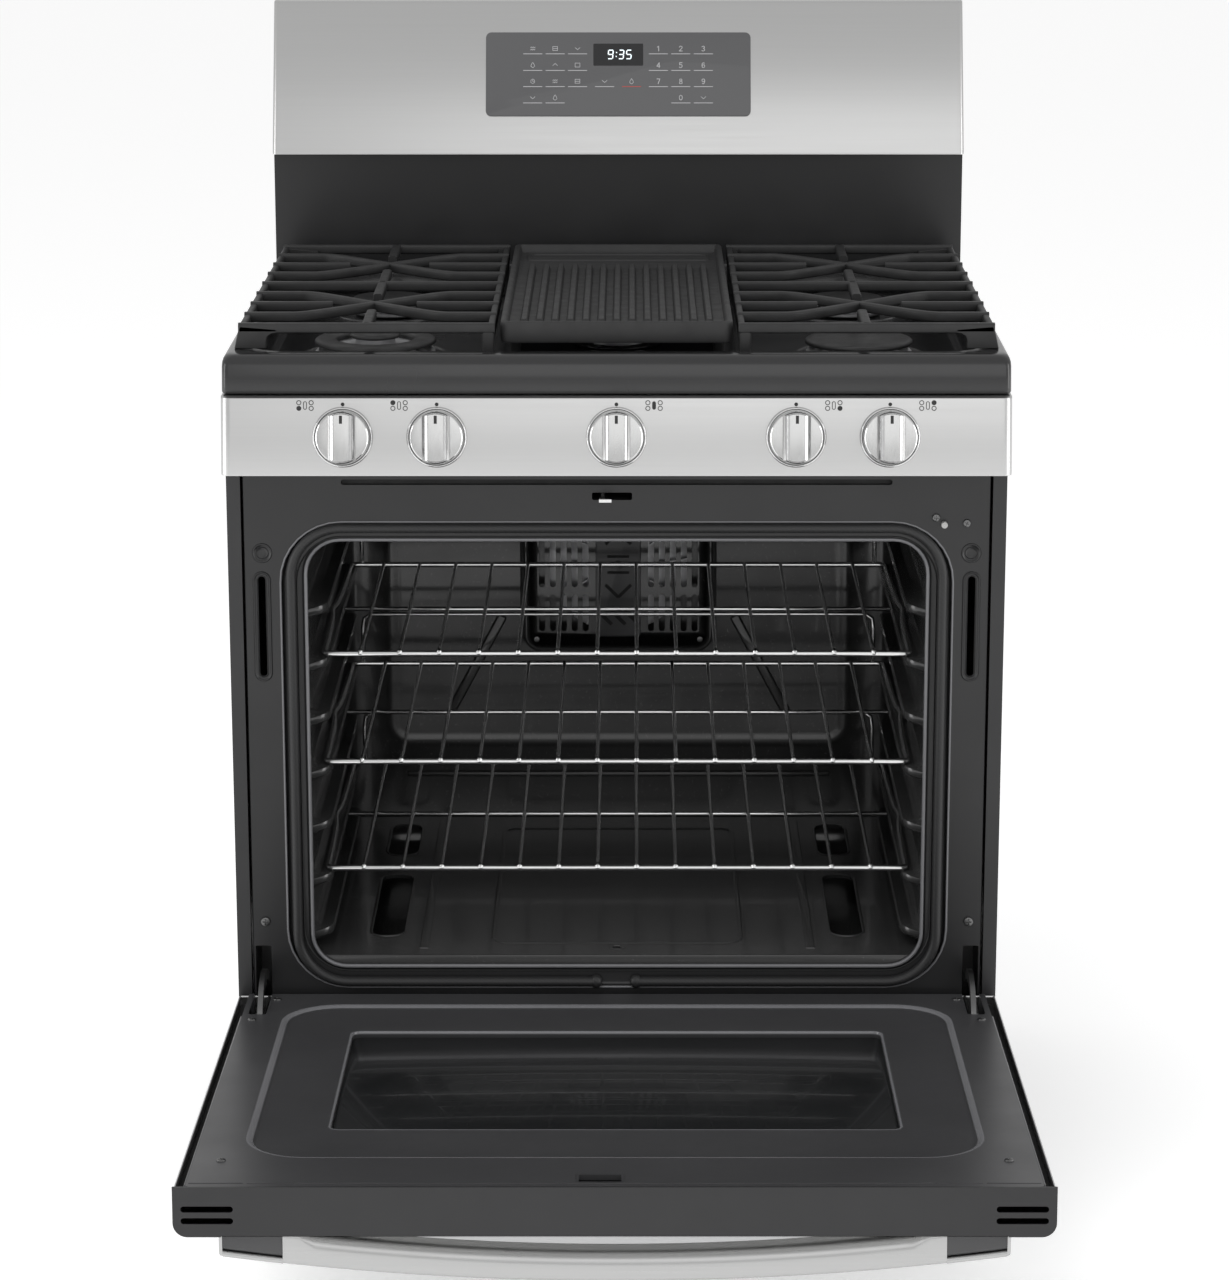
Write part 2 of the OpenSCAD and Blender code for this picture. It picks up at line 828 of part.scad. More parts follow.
// Top view of the door with its two outer corners rounded
module door_section(inset) {
    r = 12.7 - inset;
    half = door_half - inset;
    y0 = door_out + inset;
    translate([-half + r, y0]) square([2 * (half - r), 60]);
    translate([-half, y0 + r]) square([2 * half, 60 - r]);
    for (sx = [-1, 1]) translate([sx * (half - r), y0 + r]) circle(r = r);
}

module door_shell(inset) {
    intersection() {
        along_x(-door_half + inset, door_half - inset) door_profile(inset);
        translate([0, 0, door_bottom]) linear_extrude(door_top - door_bottom)
            door_section(inset);
    }
}

module door_skin() {
    color("silver") on_door() {
        difference() {
            door_shell(0);
            door_shell(sheet);
            wide_block(door_half - sheet, 10, 30, door_bottom - 1, door_top);
            wide_block(400, door_out - 5, 30, door_top - 2, door_top + 5);
            wide_block(300, door_out + sheet, 30, door_top - 6, door_top + 5);
            upright_rect(262, 110, 400, 12, door_out - 5, 0);
            wide_block(400, 12, 30, door_bottom - 1, door_bottom + 5);
            both_sides() block([345, -10, door_bottom - 1], [362.5, 30, door_bottom + 5]);
        }
        both_sides() block([369, 16.8, door_bottom + 6], [door_half - 0.6, 18, door_top - 2]);
    }
}

module door_outer_glass() {
    color([0.1, 0.1, 0.1]) on_door()
        upright_rect(275, 97, 413, 8, door_out + sheet, door_out + sheet + 4);
}

module door_liner() {
    half = 368;
    low = door_bottom + 6;
    high = door_top - 2;
    collar = 8;
    color([0.18, 0.18, 0.19]) on_door() difference() {
        union() {
            wide_block(half, door_in - 1, door_in, low, high);
            both_sides() block([half - 1, 2, low], [half, door_in, high]);
            wide_block(half, -10, door_in, low, low + 1);
            difference() {
                upright_rect(256 + collar, 100 - collar, 390 + collar, 14, 1, door_in - 1);
                upright_rect(262.3, 93.7, 396.3, 10, 0, door_in - 6);
            }
        }
        upright_rect(256, 100, 390, 10, 0, 30);
        both_sides() block([345, -12, low - 1], [362.5, 30, 52]);
        block([-29.7, 10, 517], [4.3, 30, 531]);
    }
}

module door_window() {
    color([0.2, 0.2, 0.22, 0.6]) on_door() {
        upright_rect(262, 94, 396, 9.7, 11, 15);
        upright_rect(262, 94, 396, 9.7, 2, 6);
    }
}

module door_vent_trim() {
    color([0.16, 0.16, 0.17]) on_door() difference() {
        translate([0, 0, door_top - 2]) linear_extrude(2) intersection() {
            door_section(0);
            translate([-400, door_out]) square([800, door_in - door_out]);
        }
        wide_block(338, door_out - 1, door_out + 1.2, door_top - 5, door_top + 5);
        for (sx = [-1, 1], y = [-9.5, 1])
            translate([sx * 349.5, y, door_top - 5]) linear_extrude(10) round_rect(45, 5.5, 2.7);
    }
}

// Bowed outline of the handle, seen from above: bow is the stand-off in the middle
module handle_bow(half, middle_y, end_y) {
    rise = end_y - middle_y;
    r = (half * half + rise * rise) / (2 * rise);
    translate([0, middle_y + r]) circle(r = r, $fn = 720);
}

module door_handle() {
    strip = 6;
    color("silver") on_door() translate([0, 0, handle_low]) linear_extrude(handle_high - handle_low)
        difference() {
            intersection() {
                handle_bow(handle_half, door_out - 45, door_out - 22);
                translate([-handle_half, -100]) square([2 * handle_half, 100 + door_out]);
            }
            handle_bow(grip_half, door_out - 18, door_out);
            for (sx = [-1, 1]) intersection() {
                handle_bow(handle_half, door_out - 45 + strip, door_out - 22 + strip);
                translate([sx * (grip_half + handle_half - 3) / 2 - (handle_half - 3 - grip_half) / 2,
                           -100]) square([handle_half - 3 - grip_half, 120]);
            }
        }
}

module handle_brackets() {
    strip = 6.2;
    inner = grip_half + 0.2;
    outer = handle_half - 3.2;
    color("gray") on_door() translate([0, 0, handle_low + 0.2])
        linear_extrude(handle_high - handle_low - 0.4)
            for (sx = [-1, 1]) intersection() {
                handle_bow(handle_half, door_out - 45 + strip, door_out - 22 + strip);
                translate([sx * (inner + outer) / 2 - (outer - inner) / 2, -100])
                    square([outer - inner, 100 + door_out]);
            }
}

module door_screws() {
    color("silver") on_door() both_sides() {
        for (p = [[344, 479], [357, 70], [338, 3]])
            bar_y(p[0], door_in, door_in + 1.6, p[1], 4.2);
        bar_y(314, door_out + sheet + 0.2, door_out + 5, 520, 5);
    }
}

module chassis_screws() {
    color("gray") place() {
        both_sides() bar_y(351, -2.4, 0, 342, 5);
        for (p = [[311, 755.5], [341, 750]]) bar_y(p[0], -2.4, 0, p[1], 4);
        both_sides() for (z = [170, 400, 700])
            bar_y(half_w - 6, body_d - 0.8, body_d, z, 4);
    }
}

module levelling_legs() {
    color("dimgray") place() for (sx = [-1, 1], y = [45, 590]) {
        bar_z(sx * 330, y, 0, 9, 19);
        bar_z(sx * 330, y, 8, 44.8, 8);
        bar_z(sx * 330, y, 44, 67, 4);
    }
}

// ---------------------------------------------------------------- drawer

module drawer_front() {
    half = 377;
    low = 41;
    high = 219;
    front = -52;
    back = -7;
    r = 12.7;
    color("silver") place() difference() {
        translate([0, 0, low]) linear_extrude(high - low) {
            translate([-half + r, front]) square([2 * (half - r), back - front]);
            translate([-half, front + r]) square([2 * half, back - front - r]);
            for (sx = [-1, 1]) translate([sx * (half - r), front + r]) circle(r = r);
        }
        translate([0, 0, low + sheet]) linear_extrude(high - low - 2 * sheet) {
            translate([-half + r, front + sheet]) square([2 * (half - r), back - front]);
            translate([-half + sheet, front + r]) square([2 * (half - sheet), back - front]);
            for (sx = [-1, 1]) translate([sx * (half - r), front + r]) circle(r = r - sheet);
        }
    }
}

module drawer_box() {
    half = 320;
    front = -7;
    back = 535;
    low = 75;
    high = 195;
    color("darkgray") place() {
        difference() {
            wide_block(half, front, back, low, high);
            wide_block(half - sheet, front + sheet, back - sheet, low + sheet, high + 1);
        }
        wide_block(half, front, front + sheet, low - 20, high + 15);
        wide_block(half + 40, front, front + sheet, 85, 135);
        both_sides() block([half - 0.2, 5, 104], [half + 7, back - 5, 116]);
    }
}

// ---------------------------------------------------------------- drawing

side_panel_left();
side_panel_right();
rear_panel();
base_chassis();
front_frame();
oven_liner();
oven_floor();
fan_cover();
fan_motor();
bake_burner();
broil_burner();
oven_insulation();
oven_lamp();
temp_probe();
door_gasket();
cooktop();
control_panel();
gas_manifold();
burner_bases();
burner_caps();
spark_electrodes();
backguard_riser();
backguard_head();
touch_panel();
control_board();
hinge_receivers();
lock_motor();
gas_regulator();
levelling_legs();
chassis_screws();
door_skin();
door_outer_glass();
door_liner();
door_window();
door_vent_trim();
door_handle();
handle_brackets();
hinge_arms();
door_screws();
rack_top();
rack_middle();
rack_bottom();
drawer_front();
drawer_box();
grate_left();
grate_right();
griddle();
knob(0);  // knob_1
knob(1);  // knob_2
knob(2);  // knob_3
knob(3);  // knob_4
knob(4);  // knob_5
spindle(0);  // spindle_1
spindle(1);  // spindle_2
spindle(2);  // spindle_3
spindle(3);  // spindle_4
spindle(4);  // spindle_5
fan_blade();
lock_hook();
door_switch();
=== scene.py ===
import json
import math
import random

import bmesh
import bpy
from mathutils import Matrix, Vector
from mathutils.geometry import tessellate_polygon


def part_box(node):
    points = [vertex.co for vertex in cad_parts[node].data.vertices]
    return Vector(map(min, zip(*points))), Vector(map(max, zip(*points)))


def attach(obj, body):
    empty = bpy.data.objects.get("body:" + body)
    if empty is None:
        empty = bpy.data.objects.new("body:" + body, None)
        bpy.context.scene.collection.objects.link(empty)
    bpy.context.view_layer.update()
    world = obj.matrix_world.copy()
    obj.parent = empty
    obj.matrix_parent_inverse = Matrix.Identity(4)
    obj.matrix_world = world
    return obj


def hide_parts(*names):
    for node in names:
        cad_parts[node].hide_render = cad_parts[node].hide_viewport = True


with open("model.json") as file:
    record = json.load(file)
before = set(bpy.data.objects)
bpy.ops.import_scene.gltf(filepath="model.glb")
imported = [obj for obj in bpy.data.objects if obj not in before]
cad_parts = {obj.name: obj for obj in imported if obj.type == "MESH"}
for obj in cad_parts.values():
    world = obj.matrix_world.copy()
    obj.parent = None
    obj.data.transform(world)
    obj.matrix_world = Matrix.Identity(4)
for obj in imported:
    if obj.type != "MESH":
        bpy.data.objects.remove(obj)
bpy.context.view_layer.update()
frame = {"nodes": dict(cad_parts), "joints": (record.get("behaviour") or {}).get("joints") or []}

random.seed(7)

# ------------------------------------------------------------------ local frames
# Pieces are drawn in millimetres in one of these frames, each taken from the CAD model.
MM = Matrix.Scale(0.001, 4)
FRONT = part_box("front_frame")[0].y              # front plane of the oven frame
BODY = Matrix.Translation((0, FRONT, 0)) @ MM
JOINTS = {j["name"]: j for j in frame["joints"]}
HINGE = JOINTS["door_hinge"]
DOOR = (Matrix.Translation(HINGE["pos_m"])
        @ Matrix.Rotation(math.radians(HINGE["range_deg"][1]), 4, "X") @ MM)
KNOBS = [JOINTS[f"knob_{i}_turn"] for i in range(1, 6)]
KNOB_XS = [k["pos_m"][0] * 1000 for k in KNOBS]
PANEL_TILT = math.atan2(KNOBS[0]["axis"][2], -KNOBS[0]["axis"][1])
HEAD_LOW, HEAD_HIGH = (551, 1038), (609, 1200)  # y and z where the sloping face ends
HEAD_RUN, HEAD_RISE = HEAD_HIGH[0] - HEAD_LOW[0], HEAD_HIGH[1] - HEAD_LOW[1]
HEAD_LEAN = math.atan2(HEAD_RUN, HEAD_RISE)
TOUCH_Z = 1122.75                               # middle of the touch panel


def panel_frame(x):
    """Z out of the control panel, Y up its face, origin on a knob's axis."""
    pos = KNOBS[0]["pos_m"]
    return (Matrix.Translation((x / 1000, pos[1], pos[2]))
            @ Matrix.Rotation(math.pi / 2 - PANEL_TILT, 4, "X") @ MM)


def head_frame():
    """Z out of the backguard face, Y up its face, origin in the middle of the touch panel."""
    share = (TOUCH_Z - HEAD_LOW[1]) / HEAD_RISE
    depth = (HEAD_LOW[0] + share * HEAD_RUN) / 1000
    return (Matrix.Translation((0, FRONT + depth, TOUCH_Z / 1000))
            @ Matrix.Rotation(math.pi / 2 - HEAD_LEAN, 4, "X") @ MM)


HEAD = head_frame()


# ------------------------------------------------------------------ shapes
def rr(half_x, half_y, r, cx=0.0, cy=0.0, n=6):
    """Rectangle with round corners: 4 (n + 1) points, anticlockwise."""
    points = []
    for k, (sx, sy) in enumerate(((1, -1), (1, 1), (-1, 1), (-1, -1))):
        for i in range(n + 1):
            a = math.radians(-90 + 90 * k + 90 * i / n)
            points.append((cx + sx * (half_x - r) + r * math.cos(a),
                           cy + sy * (half_y - r) + r * math.sin(a)))
    return points


def span(x0, x1, y0, y1, r, n=6):
    """The same from its edges."""
    return rr((x1 - x0) / 2, (y1 - y0) / 2, r, (x0 + x1) / 2, (y0 + y1) / 2, n)


def circle(x, y, r, n=32):
    """Round outline."""
    return [(x + r * math.cos(2 * math.pi * i / n), y + r * math.sin(2 * math.pi * i / n))
            for i in range(n)]


def flat(loop, z):
    """Outline laid level at a height."""
    return [(x, y, z) for x, y in loop]


def upright(loop, y):
    """Outline stood up, facing the front, at a depth."""
    return [(x, y, z) for x, z in loop]


class Shape:
    """Faces gathered in millimetres, with a current transform and paint number."""

    def __init__(self):
        self.points, self.faces, self.paints = [], [], []
        self.at = Matrix.Identity(4)
        self.paint = 0

    def add(self, points, faces):
        start = len(self.points)
        self.points += [self.at @ Vector(p) for p in points]
        self.faces += [tuple(start + i for i in f) for f in faces]
        self.paints += [self.paint] * len(faces)

    def rings(self, loops, first=False, last=False, closed=True):
        """Skin over loops that have the same number of points."""
        n = len(loops[0])
        points = [p for loop in loops for p in loop]
        faces = []
        for k in range(len(loops) - 1):
            for i in range(n if closed else n - 1):
                j = (i + 1) % n
                faces.append((k * n + i, k * n + j, (k + 1) * n + j, (k + 1) * n + i))
        if first:
            faces.append(tuple(range(n))[::-1])
        if last:
            faces.append(tuple(range(len(points) - n, len(points))))
        self.add(points, faces)

    def plate(self, outer, holes, low, high, place):
        """Sheet with holes between two heights: place(loop, height) gives 3-D points."""
        loops = [outer] + list(holes)
        flat_points = [[Vector((x, y, 0)) for x, y in loop] for loop in loops]
        triangles = tessellate_polygon(flat_points)
        total = sum(len(loop) for loop in loops)
        bottom = [p for loop in loops for p in place(loop, low)]
        if high == low:
            self.add(bottom, triangles)
            return
        top = [p for loop in loops for p in place(loop, high)]
        faces = [tuple(t) for t in triangles]
        faces += [tuple(total + i for i in t) for t in triangles]
        start = 0
        for loop in loops:
            n = len(loop)
            for i in range(n):
                j = (i + 1) % n
                faces.append((start + i, start + j, total + start + j, total + start + i))
            start += n
        self.add(bottom + top, faces)

    def slab(self, low, high, r, n=2):
        """Box with every edge rounded."""
        (x0, y0, z0), (x1, y1, z1) = low, high
        loops = []
        for side in (0, 1):
            for j in range(n + 1):
                a = math.pi / 2 * (j if side == 0 else n - j) / n
                inset = r * (1 - math.sin(a))
                rise = r * (1 - math.cos(a))
                z = z0 + rise if side == 0 else z1 - rise
                loops.append(flat(span(x0 + inset, x1 - inset, y0 + inset, y1 - inset,
                                       max(r - inset, 0.04), n), z))
        self.rings(loops, True, True)

    def rail(self, path, w, top, h, r=2.2):
        """Rounded bar with a level top along a smooth path of (x, y)."""
        path = [Vector(p) for p in path]
        loops = []
        for i, here in enumerate(path):
            d = (path[min(i + 1, len(path) - 1)] - path[max(i - 1, 0)]).normalized()
            side = Vector((-d.y, d.x))
            s = 0.86 if i in (0, len(path) - 1) else 1.0
            section = span(-w / 2 * s, w / 2 * s, top - h, top, r, 3)
            loops.append([(here.x + side.x * u, here.y + side.y * u, z) for u, z in section])
        self.rings(loops, True, True)

    def lathe(self, profile, centre=(0, 0, 0), turn=None, n=40, first=True, last=True):
        """Profile of (radius, height), turned about the local Z."""
        kept = self.at
        self.at = kept @ Matrix.Translation(centre) @ (turn or Matrix.Identity(4))
        self.rings([[(r * math.cos(2 * math.pi * i / n), r * math.sin(2 * math.pi * i / n), z)
                     for i in range(n)] for r, z in profile], first, last)
        self.at = kept

    def tube(self, path, r, n=10, closed=False, flatten=1.0):
        """Round wire along a path."""
        path = [Vector(p) for p in path]
        count = len(path)
        tangents = []
        for i in range(count):
            a = path[i - 1] if i or closed else path[i]
            b = path[(i + 1) % count] if i < count - 1 or closed else path[i]
            tangents.append((b - a).normalized())
        side = tangents[0].orthogonal().normalized()
        if abs(tangents[0].z) < 0.9:
            side = tangents[0].cross(Vector((0, 0, 1))).normalized()
        loops = []
        for point, tangent in zip(path, tangents):
            side = (side - tangent * side.dot(tangent)).normalized()
            up = tangent.cross(side)
            loops.append([point + side * (r * math.cos(2 * math.pi * k / n))
                          + up * (r * flatten * math.sin(2 * math.pi * k / n))
                          for k in range(n)])
        if closed:
            loops.append(loops[0])
            self.rings(loops)
        else:
            ends = []
            for loop, point, tangent, sign in ((loops[0], path[0], tangents[0], -1),
                                               (loops[-1], path[-1], tangents[-1], 1)):
                ends.append([point + (p - point) * 0.6 + tangent * sign * r * 0.45 for p in loop])
            self.rings([ends[0]] + loops + [ends[1]], True, True)

    def screw(self, centre, r, h, turn=None, spin=0.0):
        """Pan head with a cross recess; the local Z points out of the metal."""
        kept = self.at
        self.at = kept @ Matrix.Translation(centre) @ (turn or Matrix.Identity(4))
        n = 32
        arms = []
        for i in range(n):
            a = 2 * math.pi * i / n + spin
            on_arm = min(abs(math.sin(2 * a)), 1) < 0.5
            arms.append((0.58 * r if on_arm else 0.2 * r, a))
        ring = [[(q * math.cos(2 * math.pi * i / n), q * math.sin(2 * math.pi * i / n), z)
                 for i in range(n)]
                for q, z in ((r, 0), (r, 0.3 * h), (0.86 * r, 0.82 * h), (0.64 * r, h))]
        ring.append([(q * math.cos(a - spin), q * math.sin(a - spin), h) for q, a in arms])
        ring.append([(0.75 * q * math.cos(a - spin), 0.75 * q * math.sin(a - spin), 0.35 * h)
                     for q, a in arms])
        self.rings(ring, True, True)
        self.at = kept


def make(shape, name, body, local, materials, nodes=(), bevel=0.0, sharp=32):
    """The shape as a piece that rides on its body."""
    mesh = bpy.data.meshes.new(name)
    mesh.from_pydata([tuple(p) for p in shape.points], [], shape.faces)
    for m in materials:
        mesh.materials.append(m)
    mesh.polygons.foreach_set("material_index", shape.paints)
    mesh.transform(local)
    bm = bmesh.new()
    bm.from_mesh(mesh)
    bmesh.ops.remove_doubles(bm, verts=bm.verts, dist=2e-6)
    bmesh.ops.dissolve_degenerate(bm, edges=bm.edges, dist=1e-6)
    loose = [v for v in bm.verts if not v.link_faces]
    bmesh.ops.delete(bm, geom=loose, context="VERTS")
    bmesh.ops.recalc_face_normals(bm, faces=bm.faces)
    bm.to_mesh(mesh)
    bm.free()
    mesh.shade_smooth()
    obj = bpy.data.objects.new(name, mesh)
    bpy.context.scene.collection.objects.link(obj)
    if bevel:
        soften(obj, bevel)
    else:
        mesh.set_sharp_from_angle(angle=math.radians(sharp))
    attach(obj, body)
    if nodes:
        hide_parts(*nodes)
    return obj


def soften(obj, width, segments=2):
    """Small round edges, with a modifier."""
    bevel = obj.modifiers.new("edges", "BEVEL")
    bevel.width = width / 1000
    bevel.segments = segments
    bevel.limit_method = "ANGLE"
    bevel.angle_limit = math.radians(40)
    bevel.harden_normals = True


# ------------------------------------------------------------------ materials
class Paint:
    """A principled material with its nodes at hand."""

    def __init__(self, name, colour, rough=0.5, metal=0.0, **sockets):
        self.m = bpy.data.materials.new(name)
        self.m.use_nodes = True
        self.m.diffuse_color = (*colour, 1)
        self.tree = self.m.node_tree
        self.shader = self.tree.nodes["Principled BSDF"]
        self.set(self.shader, {"Base Color": (*colour, 1), "Roughness": rough, "Metallic": metal})
        self.set(self.shader, sockets)
        self.colour = colour
        self.normal = None
        self.where = self.node("ShaderNodeTexCoord").outputs["Object"]

    def set(self, node, values):
        for key, value in values.items():
            node.inputs[key.replace("_", " ")].default_value = value

    def node(self, kind, **props):
        node = self.tree.nodes.new(kind)
        for key, value in props.items():
            setattr(node, key, value)
        return node

    def link(self, a, b):
        self.tree.links.new(a, b)

    def stretched(self, scale):
        """Object coordinates times three scales, per metre."""
        node = self.node("ShaderNodeMapping")
        node.inputs["Scale"].default_value = scale
        self.link(self.where, node.inputs["Vector"])
        return node.outputs["Vector"]

    def noise(self, scale, detail=3.0, rough=0.55, where=None, distortion=0.0):
        node = self.node("ShaderNodeTexNoise")
        self.set(node, {"Scale": scale, "Detail": detail, "Roughness": rough,
                        "Distortion": distortion})
        self.link(where or self.where, node.inputs["Vector"])
        return node.outputs["Fac"]

    def cells(self, scale, feature="F1", where=None, out="Distance"):
        node = self.node("ShaderNodeTexVoronoi", feature=feature)
        self.set(node, {"Scale": scale})
        self.link(where or self.where, node.inputs["Vector"])
        return node.outputs[out]

    def spread(self, value, low, high, a=0.3, b=0.7):
        """Value from a..b mapped on to low..high."""
        node = self.node("ShaderNodeMapRange")
        for key, v in (("From Min", a), ("From Max", b), ("To Min", low), ("To Max", high)):
            node.inputs[key].default_value = v
        self.link(value, node.inputs["Value"])
        return node.outputs["Result"]

    def blend(self, value, a, b):
        """Colour from a to b by a value."""
        node = self.node("ShaderNodeMix", data_type="RGBA")
        node.inputs["A"].default_value = (*a, 1)
        node.inputs["B"].default_value = (*b, 1)
        self.link(value, node.inputs["Factor"])
        return node.outputs["Result"]

    def tint(self, value, dark, light):
        """Base colour between two shares of the plain colour."""
        a = [c * dark for c in self.colour]
        b = [min(1, c * light) for c in self.colour]
        self.link(self.blend(value, a, b), self.shader.inputs["Base Color"])
        return self

    def gloss(self, value, low, high, a=0.3, b=0.7):
        self.link(self.spread(value, low, high, a, b), self.shader.inputs["Roughness"])
        return self

    def bump(self, value, strength, distance):
        """One more layer of relief, distance in millimetres."""
        node = self.node("ShaderNodeBump")
        self.set(node, {"Strength": strength, "Distance": distance / 1000})
        self.link(value, node.inputs["Height"])
        if self.normal:
            self.link(self.normal, node.inputs["Normal"])
        self.normal = node.outputs["Normal"]
        self.link(self.normal, self.shader.inputs["Normal"])
        return self


def brushed(name, level=0.56, rough=(0.3, 0.38), along="X", depth=0.008):
    """Sheet steel with a long straight grain and a few faint smears."""
    scale = {"X": (5, 700, 700), "Y": (700, 5, 700), "Z": (700, 700, 5)}[along]
    p = Paint(name, (level, level, level * 0.995), rough[0], 1.0)
    grain = p.noise(1.0, 5, 0.65, p.stretched(scale))
    p.gloss(grain, rough[0], rough[1])
    p.tint(p.noise(1.0, 4, 0.7, p.stretched([s * 0.6 for s in scale])), 0.965, 1.03)
    p.bump(grain, 0.25, depth)
    p.bump(p.noise(2.2, 2), 0.06, 0.3)
    return p.m


def enamel(name, level=0.011, rough=(0.2, 0.3), peel=0.03, speck=0.0, coat=0.25):
    """Fired enamel: orange peel, and pale specks where it is used in the oven."""
    p = Paint(name, (level, level, level * 1.05), rough[0], 0.0, Coat_Weight=coat,
              Coat_Roughness=0.08)
    p.gloss(p.noise(14, 4), *rough)
    if speck:
        dots = p.spread(p.cells(520), 1.0, 0.0, 0.10, 0.16)
        few = p.spread(p.noise(260, 2), 0.0, 1.0, 0.56, 0.6)
        both = p.node("ShaderNodeMath", operation="MULTIPLY")
        p.link(dots, both.inputs[0])
        p.link(few, both.inputs[1])
        p.link(p.blend(both.outputs[0], (level,) * 3, (speck,) * 3),
               p.shader.inputs["Base Color"])
    else:
        p.tint(p.noise(6, 3), 0.85, 1.2)
    p.bump(p.noise(420, 2), 0.25, peel)
    p.bump(p.noise(3.0, 2), 0.15, 0.6)
    return p.m


def cast(name, level, rough=(0.42, 0.58), grain=0.10, metal=0.0):
    """Sand cast metal, with or without a coat."""
    p = Paint(name, (level, level, level * 1.02), rough[0], metal)
    p.gloss(p.noise(60, 4), *rough)
    p.tint(p.noise(40, 4), 0.75, 1.3)
    p.bump(p.noise(900, 3), 0.5, grain)
    p.bump(p.noise(120, 3), 0.35, grain * 1.5)
    return p.m


def polished(name, level=0.75, rough=(0.06, 0.14), grain=300):
    """Chrome or bright zinc, with fine drawing marks."""
    p = Paint(name, (level, level, level), rough[0], 1.0)
    p.gloss(p.noise(grain, 3), *rough)
    p.tint(p.noise(25, 3), 0.92, 1.04)
    p.bump(p.noise(grain, 2), 0.05, 0.003)
    return p.m


def galvanised(name):
    """Zinc coat with its spangle."""
    p = Paint(name, (0.5, 0.51, 0.52), 0.4, 1.0)
    spangle = p.cells(140, out="Color")
    grey = p.node("ShaderNodeRGBToBW")
    p.link(spangle, grey.inputs[0])
    p.tint(grey.outputs[0], 0.82, 1.15)
    p.gloss(grey.outputs[0], 0.32, 0.5, 0.1, 0.9)
    p.bump(p.noise(90, 3), 0.1, 0.03)
    return p.m


def moulded(name, colour, rough=(0.35, 0.45), grain=0.02, **sockets):
    """Moulded plastic or powder coat with a fine texture."""
    p = Paint(name, colour, rough[0], 0.0, **sockets)
    p.gloss(p.noise(50, 3), *rough)
    p.tint(p.noise(12, 3), 0.92, 1.08)
    p.bump(p.noise(1400, 2), 0.4, grain)
    return p.m


def glass(name, colour, rough=0.03, transmission=0.0, alpha=1.0):
    """Glass with fine dust in the gloss."""
    p = Paint(name, colour, rough, 0.0, Transmission_Weight=transmission, Alpha=alpha,
              IOR=1.5, Coat_Weight=0.3, Coat_Roughness=0.02)
    p.gloss(p.noise(9, 5), rough, rough + 0.05)
    p.tint(p.noise(4, 2), 0.9, 1.1)
    return p.m


def woven(name):
    """Fine woven cord with a smooth rubbed face."""
    p = Paint(name, (0.014, 0.014, 0.0145), 0.5, 0.0)
    wave = p.node("ShaderNodeTexWave", wave_type="BANDS", bands_direction="DIAGONAL")
    p.set(wave, {"Scale": 130, "Distortion": 1.2, "Detail": 2})
    p.link(p.where, wave.inputs["Vector"])
    p.tint(wave.outputs["Fac"], 0.85, 1.2)
    p.bump(wave.outputs["Fac"], 0.2, 0.08)
    p.bump(p.noise(1600, 2), 0.3, 0.05)
    return p.m


def blanket(name):
    """Glass-fibre insulation."""
    p = Paint(name, (0.62, 0.55, 0.33), 0.95, 0.0)
    fibres = p.noise(1.0, 5, 0.8, p.stretched((240, 60, 240)), 1.5)
    p.tint(fibres, 0.6, 1.35)
    p.bump(fibres, 0.8, 2.0)
    return p.m


def board(name):
    """Circuit board with fine tracks."""
    p = Paint(name, (0.02, 0.14, 0.05), 0.35, 0.0)
    tracks = p.cells(420, "DISTANCE_TO_EDGE")
    p.link(p.blend(p.spread(tracks, 0, 1, 0.03, 0.05), (0.03, 0.22, 0.08), (0.012, 0.09, 0.03)),
           p.shader.inputs["Base Color"])
    p.bump(tracks, 0.2, 0.05)
    return p.m


def printed(name, colour, glow=0.0):
    """Screen print on metal or glass, slightly uneven."""
    p = Paint(name, colour, 0.45, 0.0)
    if glow:
        p.set(p.shader, {"Emission Color": (*colour, 1), "Emission Strength": glow})
    p.tint(p.noise(1500, 2), 0.8, 1.15)
    p.gloss(p.noise(700, 2), 0.38, 0.55)
    return p.m


STEEL = brushed("brushed_steel")
STEEL_KNOB = brushed("knob_face_steel", 0.55, (0.2, 0.28), "Z", 0.004)
STEEL_EDGE = polished("turned_steel_edge", 0.66, (0.12, 0.18), 300)
STEEL_HANDLE = brushed("handle_steel", 0.44, (0.26, 0.34), "X", 0.008)
ENAMEL = enamel("black_enamel", 0.010, (0.3, 0.4), 0.03, 0.0, 0.0)
# much lighter enamel laid on rolled edges and steps: painted highlight
ENAMEL_HIGHLIGHT = enamel("enamel_painted_highlight", 0.14, (0.16, 0.24), 0.02, 0.0, 0.2)
ENAMEL_COOKTOP = enamel("cooktop_enamel", 0.012, (0.2, 0.28), 0.03, 0.0, 0.25)
ENAMEL_SIDE = enamel("side_enamel", 0.016, (0.34, 0.44), 0.05, 0.0, 0.0)
ENAMEL_OVEN = enamel("oven_enamel", 0.032, (0.16, 0.24), 0.03, 0.25, 0.3)
FAN_BARS = enamel("fan_cover_bars", 0.03, (0.3, 0.4), 0.03, 0.0, 0.0)
ENAMEL_LINER = enamel("door_liner_enamel", 0.036, (0.28, 0.36), 0.03, 0.0, 0.0)
IRON = cast("grate_iron", 0.014)
IRON_GRIDDLE = cast("griddle_iron", 0.016, (0.48, 0.62), 0.12)
CAP = cast("burner_cap_enamel", 0.018, (0.35, 0.5), 0.06)
ALUMINIUM = cast("burner_aluminium", 0.5, (0.35, 0.5), 0.08, 1.0)
CHROME = polished("rack_chrome", 0.72, (0.16, 0.24))
BRIGHT = polished("bright_zinc", 0.7, (0.16, 0.28))
ZINC = galvanised("galvanised_sheet")
DULL = cast("dull_aluminised_steel", 0.42, (0.4, 0.55), 0.03, 1.0)
PIPE = cast("pipe_metal", 0.5, (0.35, 0.5), 0.04, 1.0)
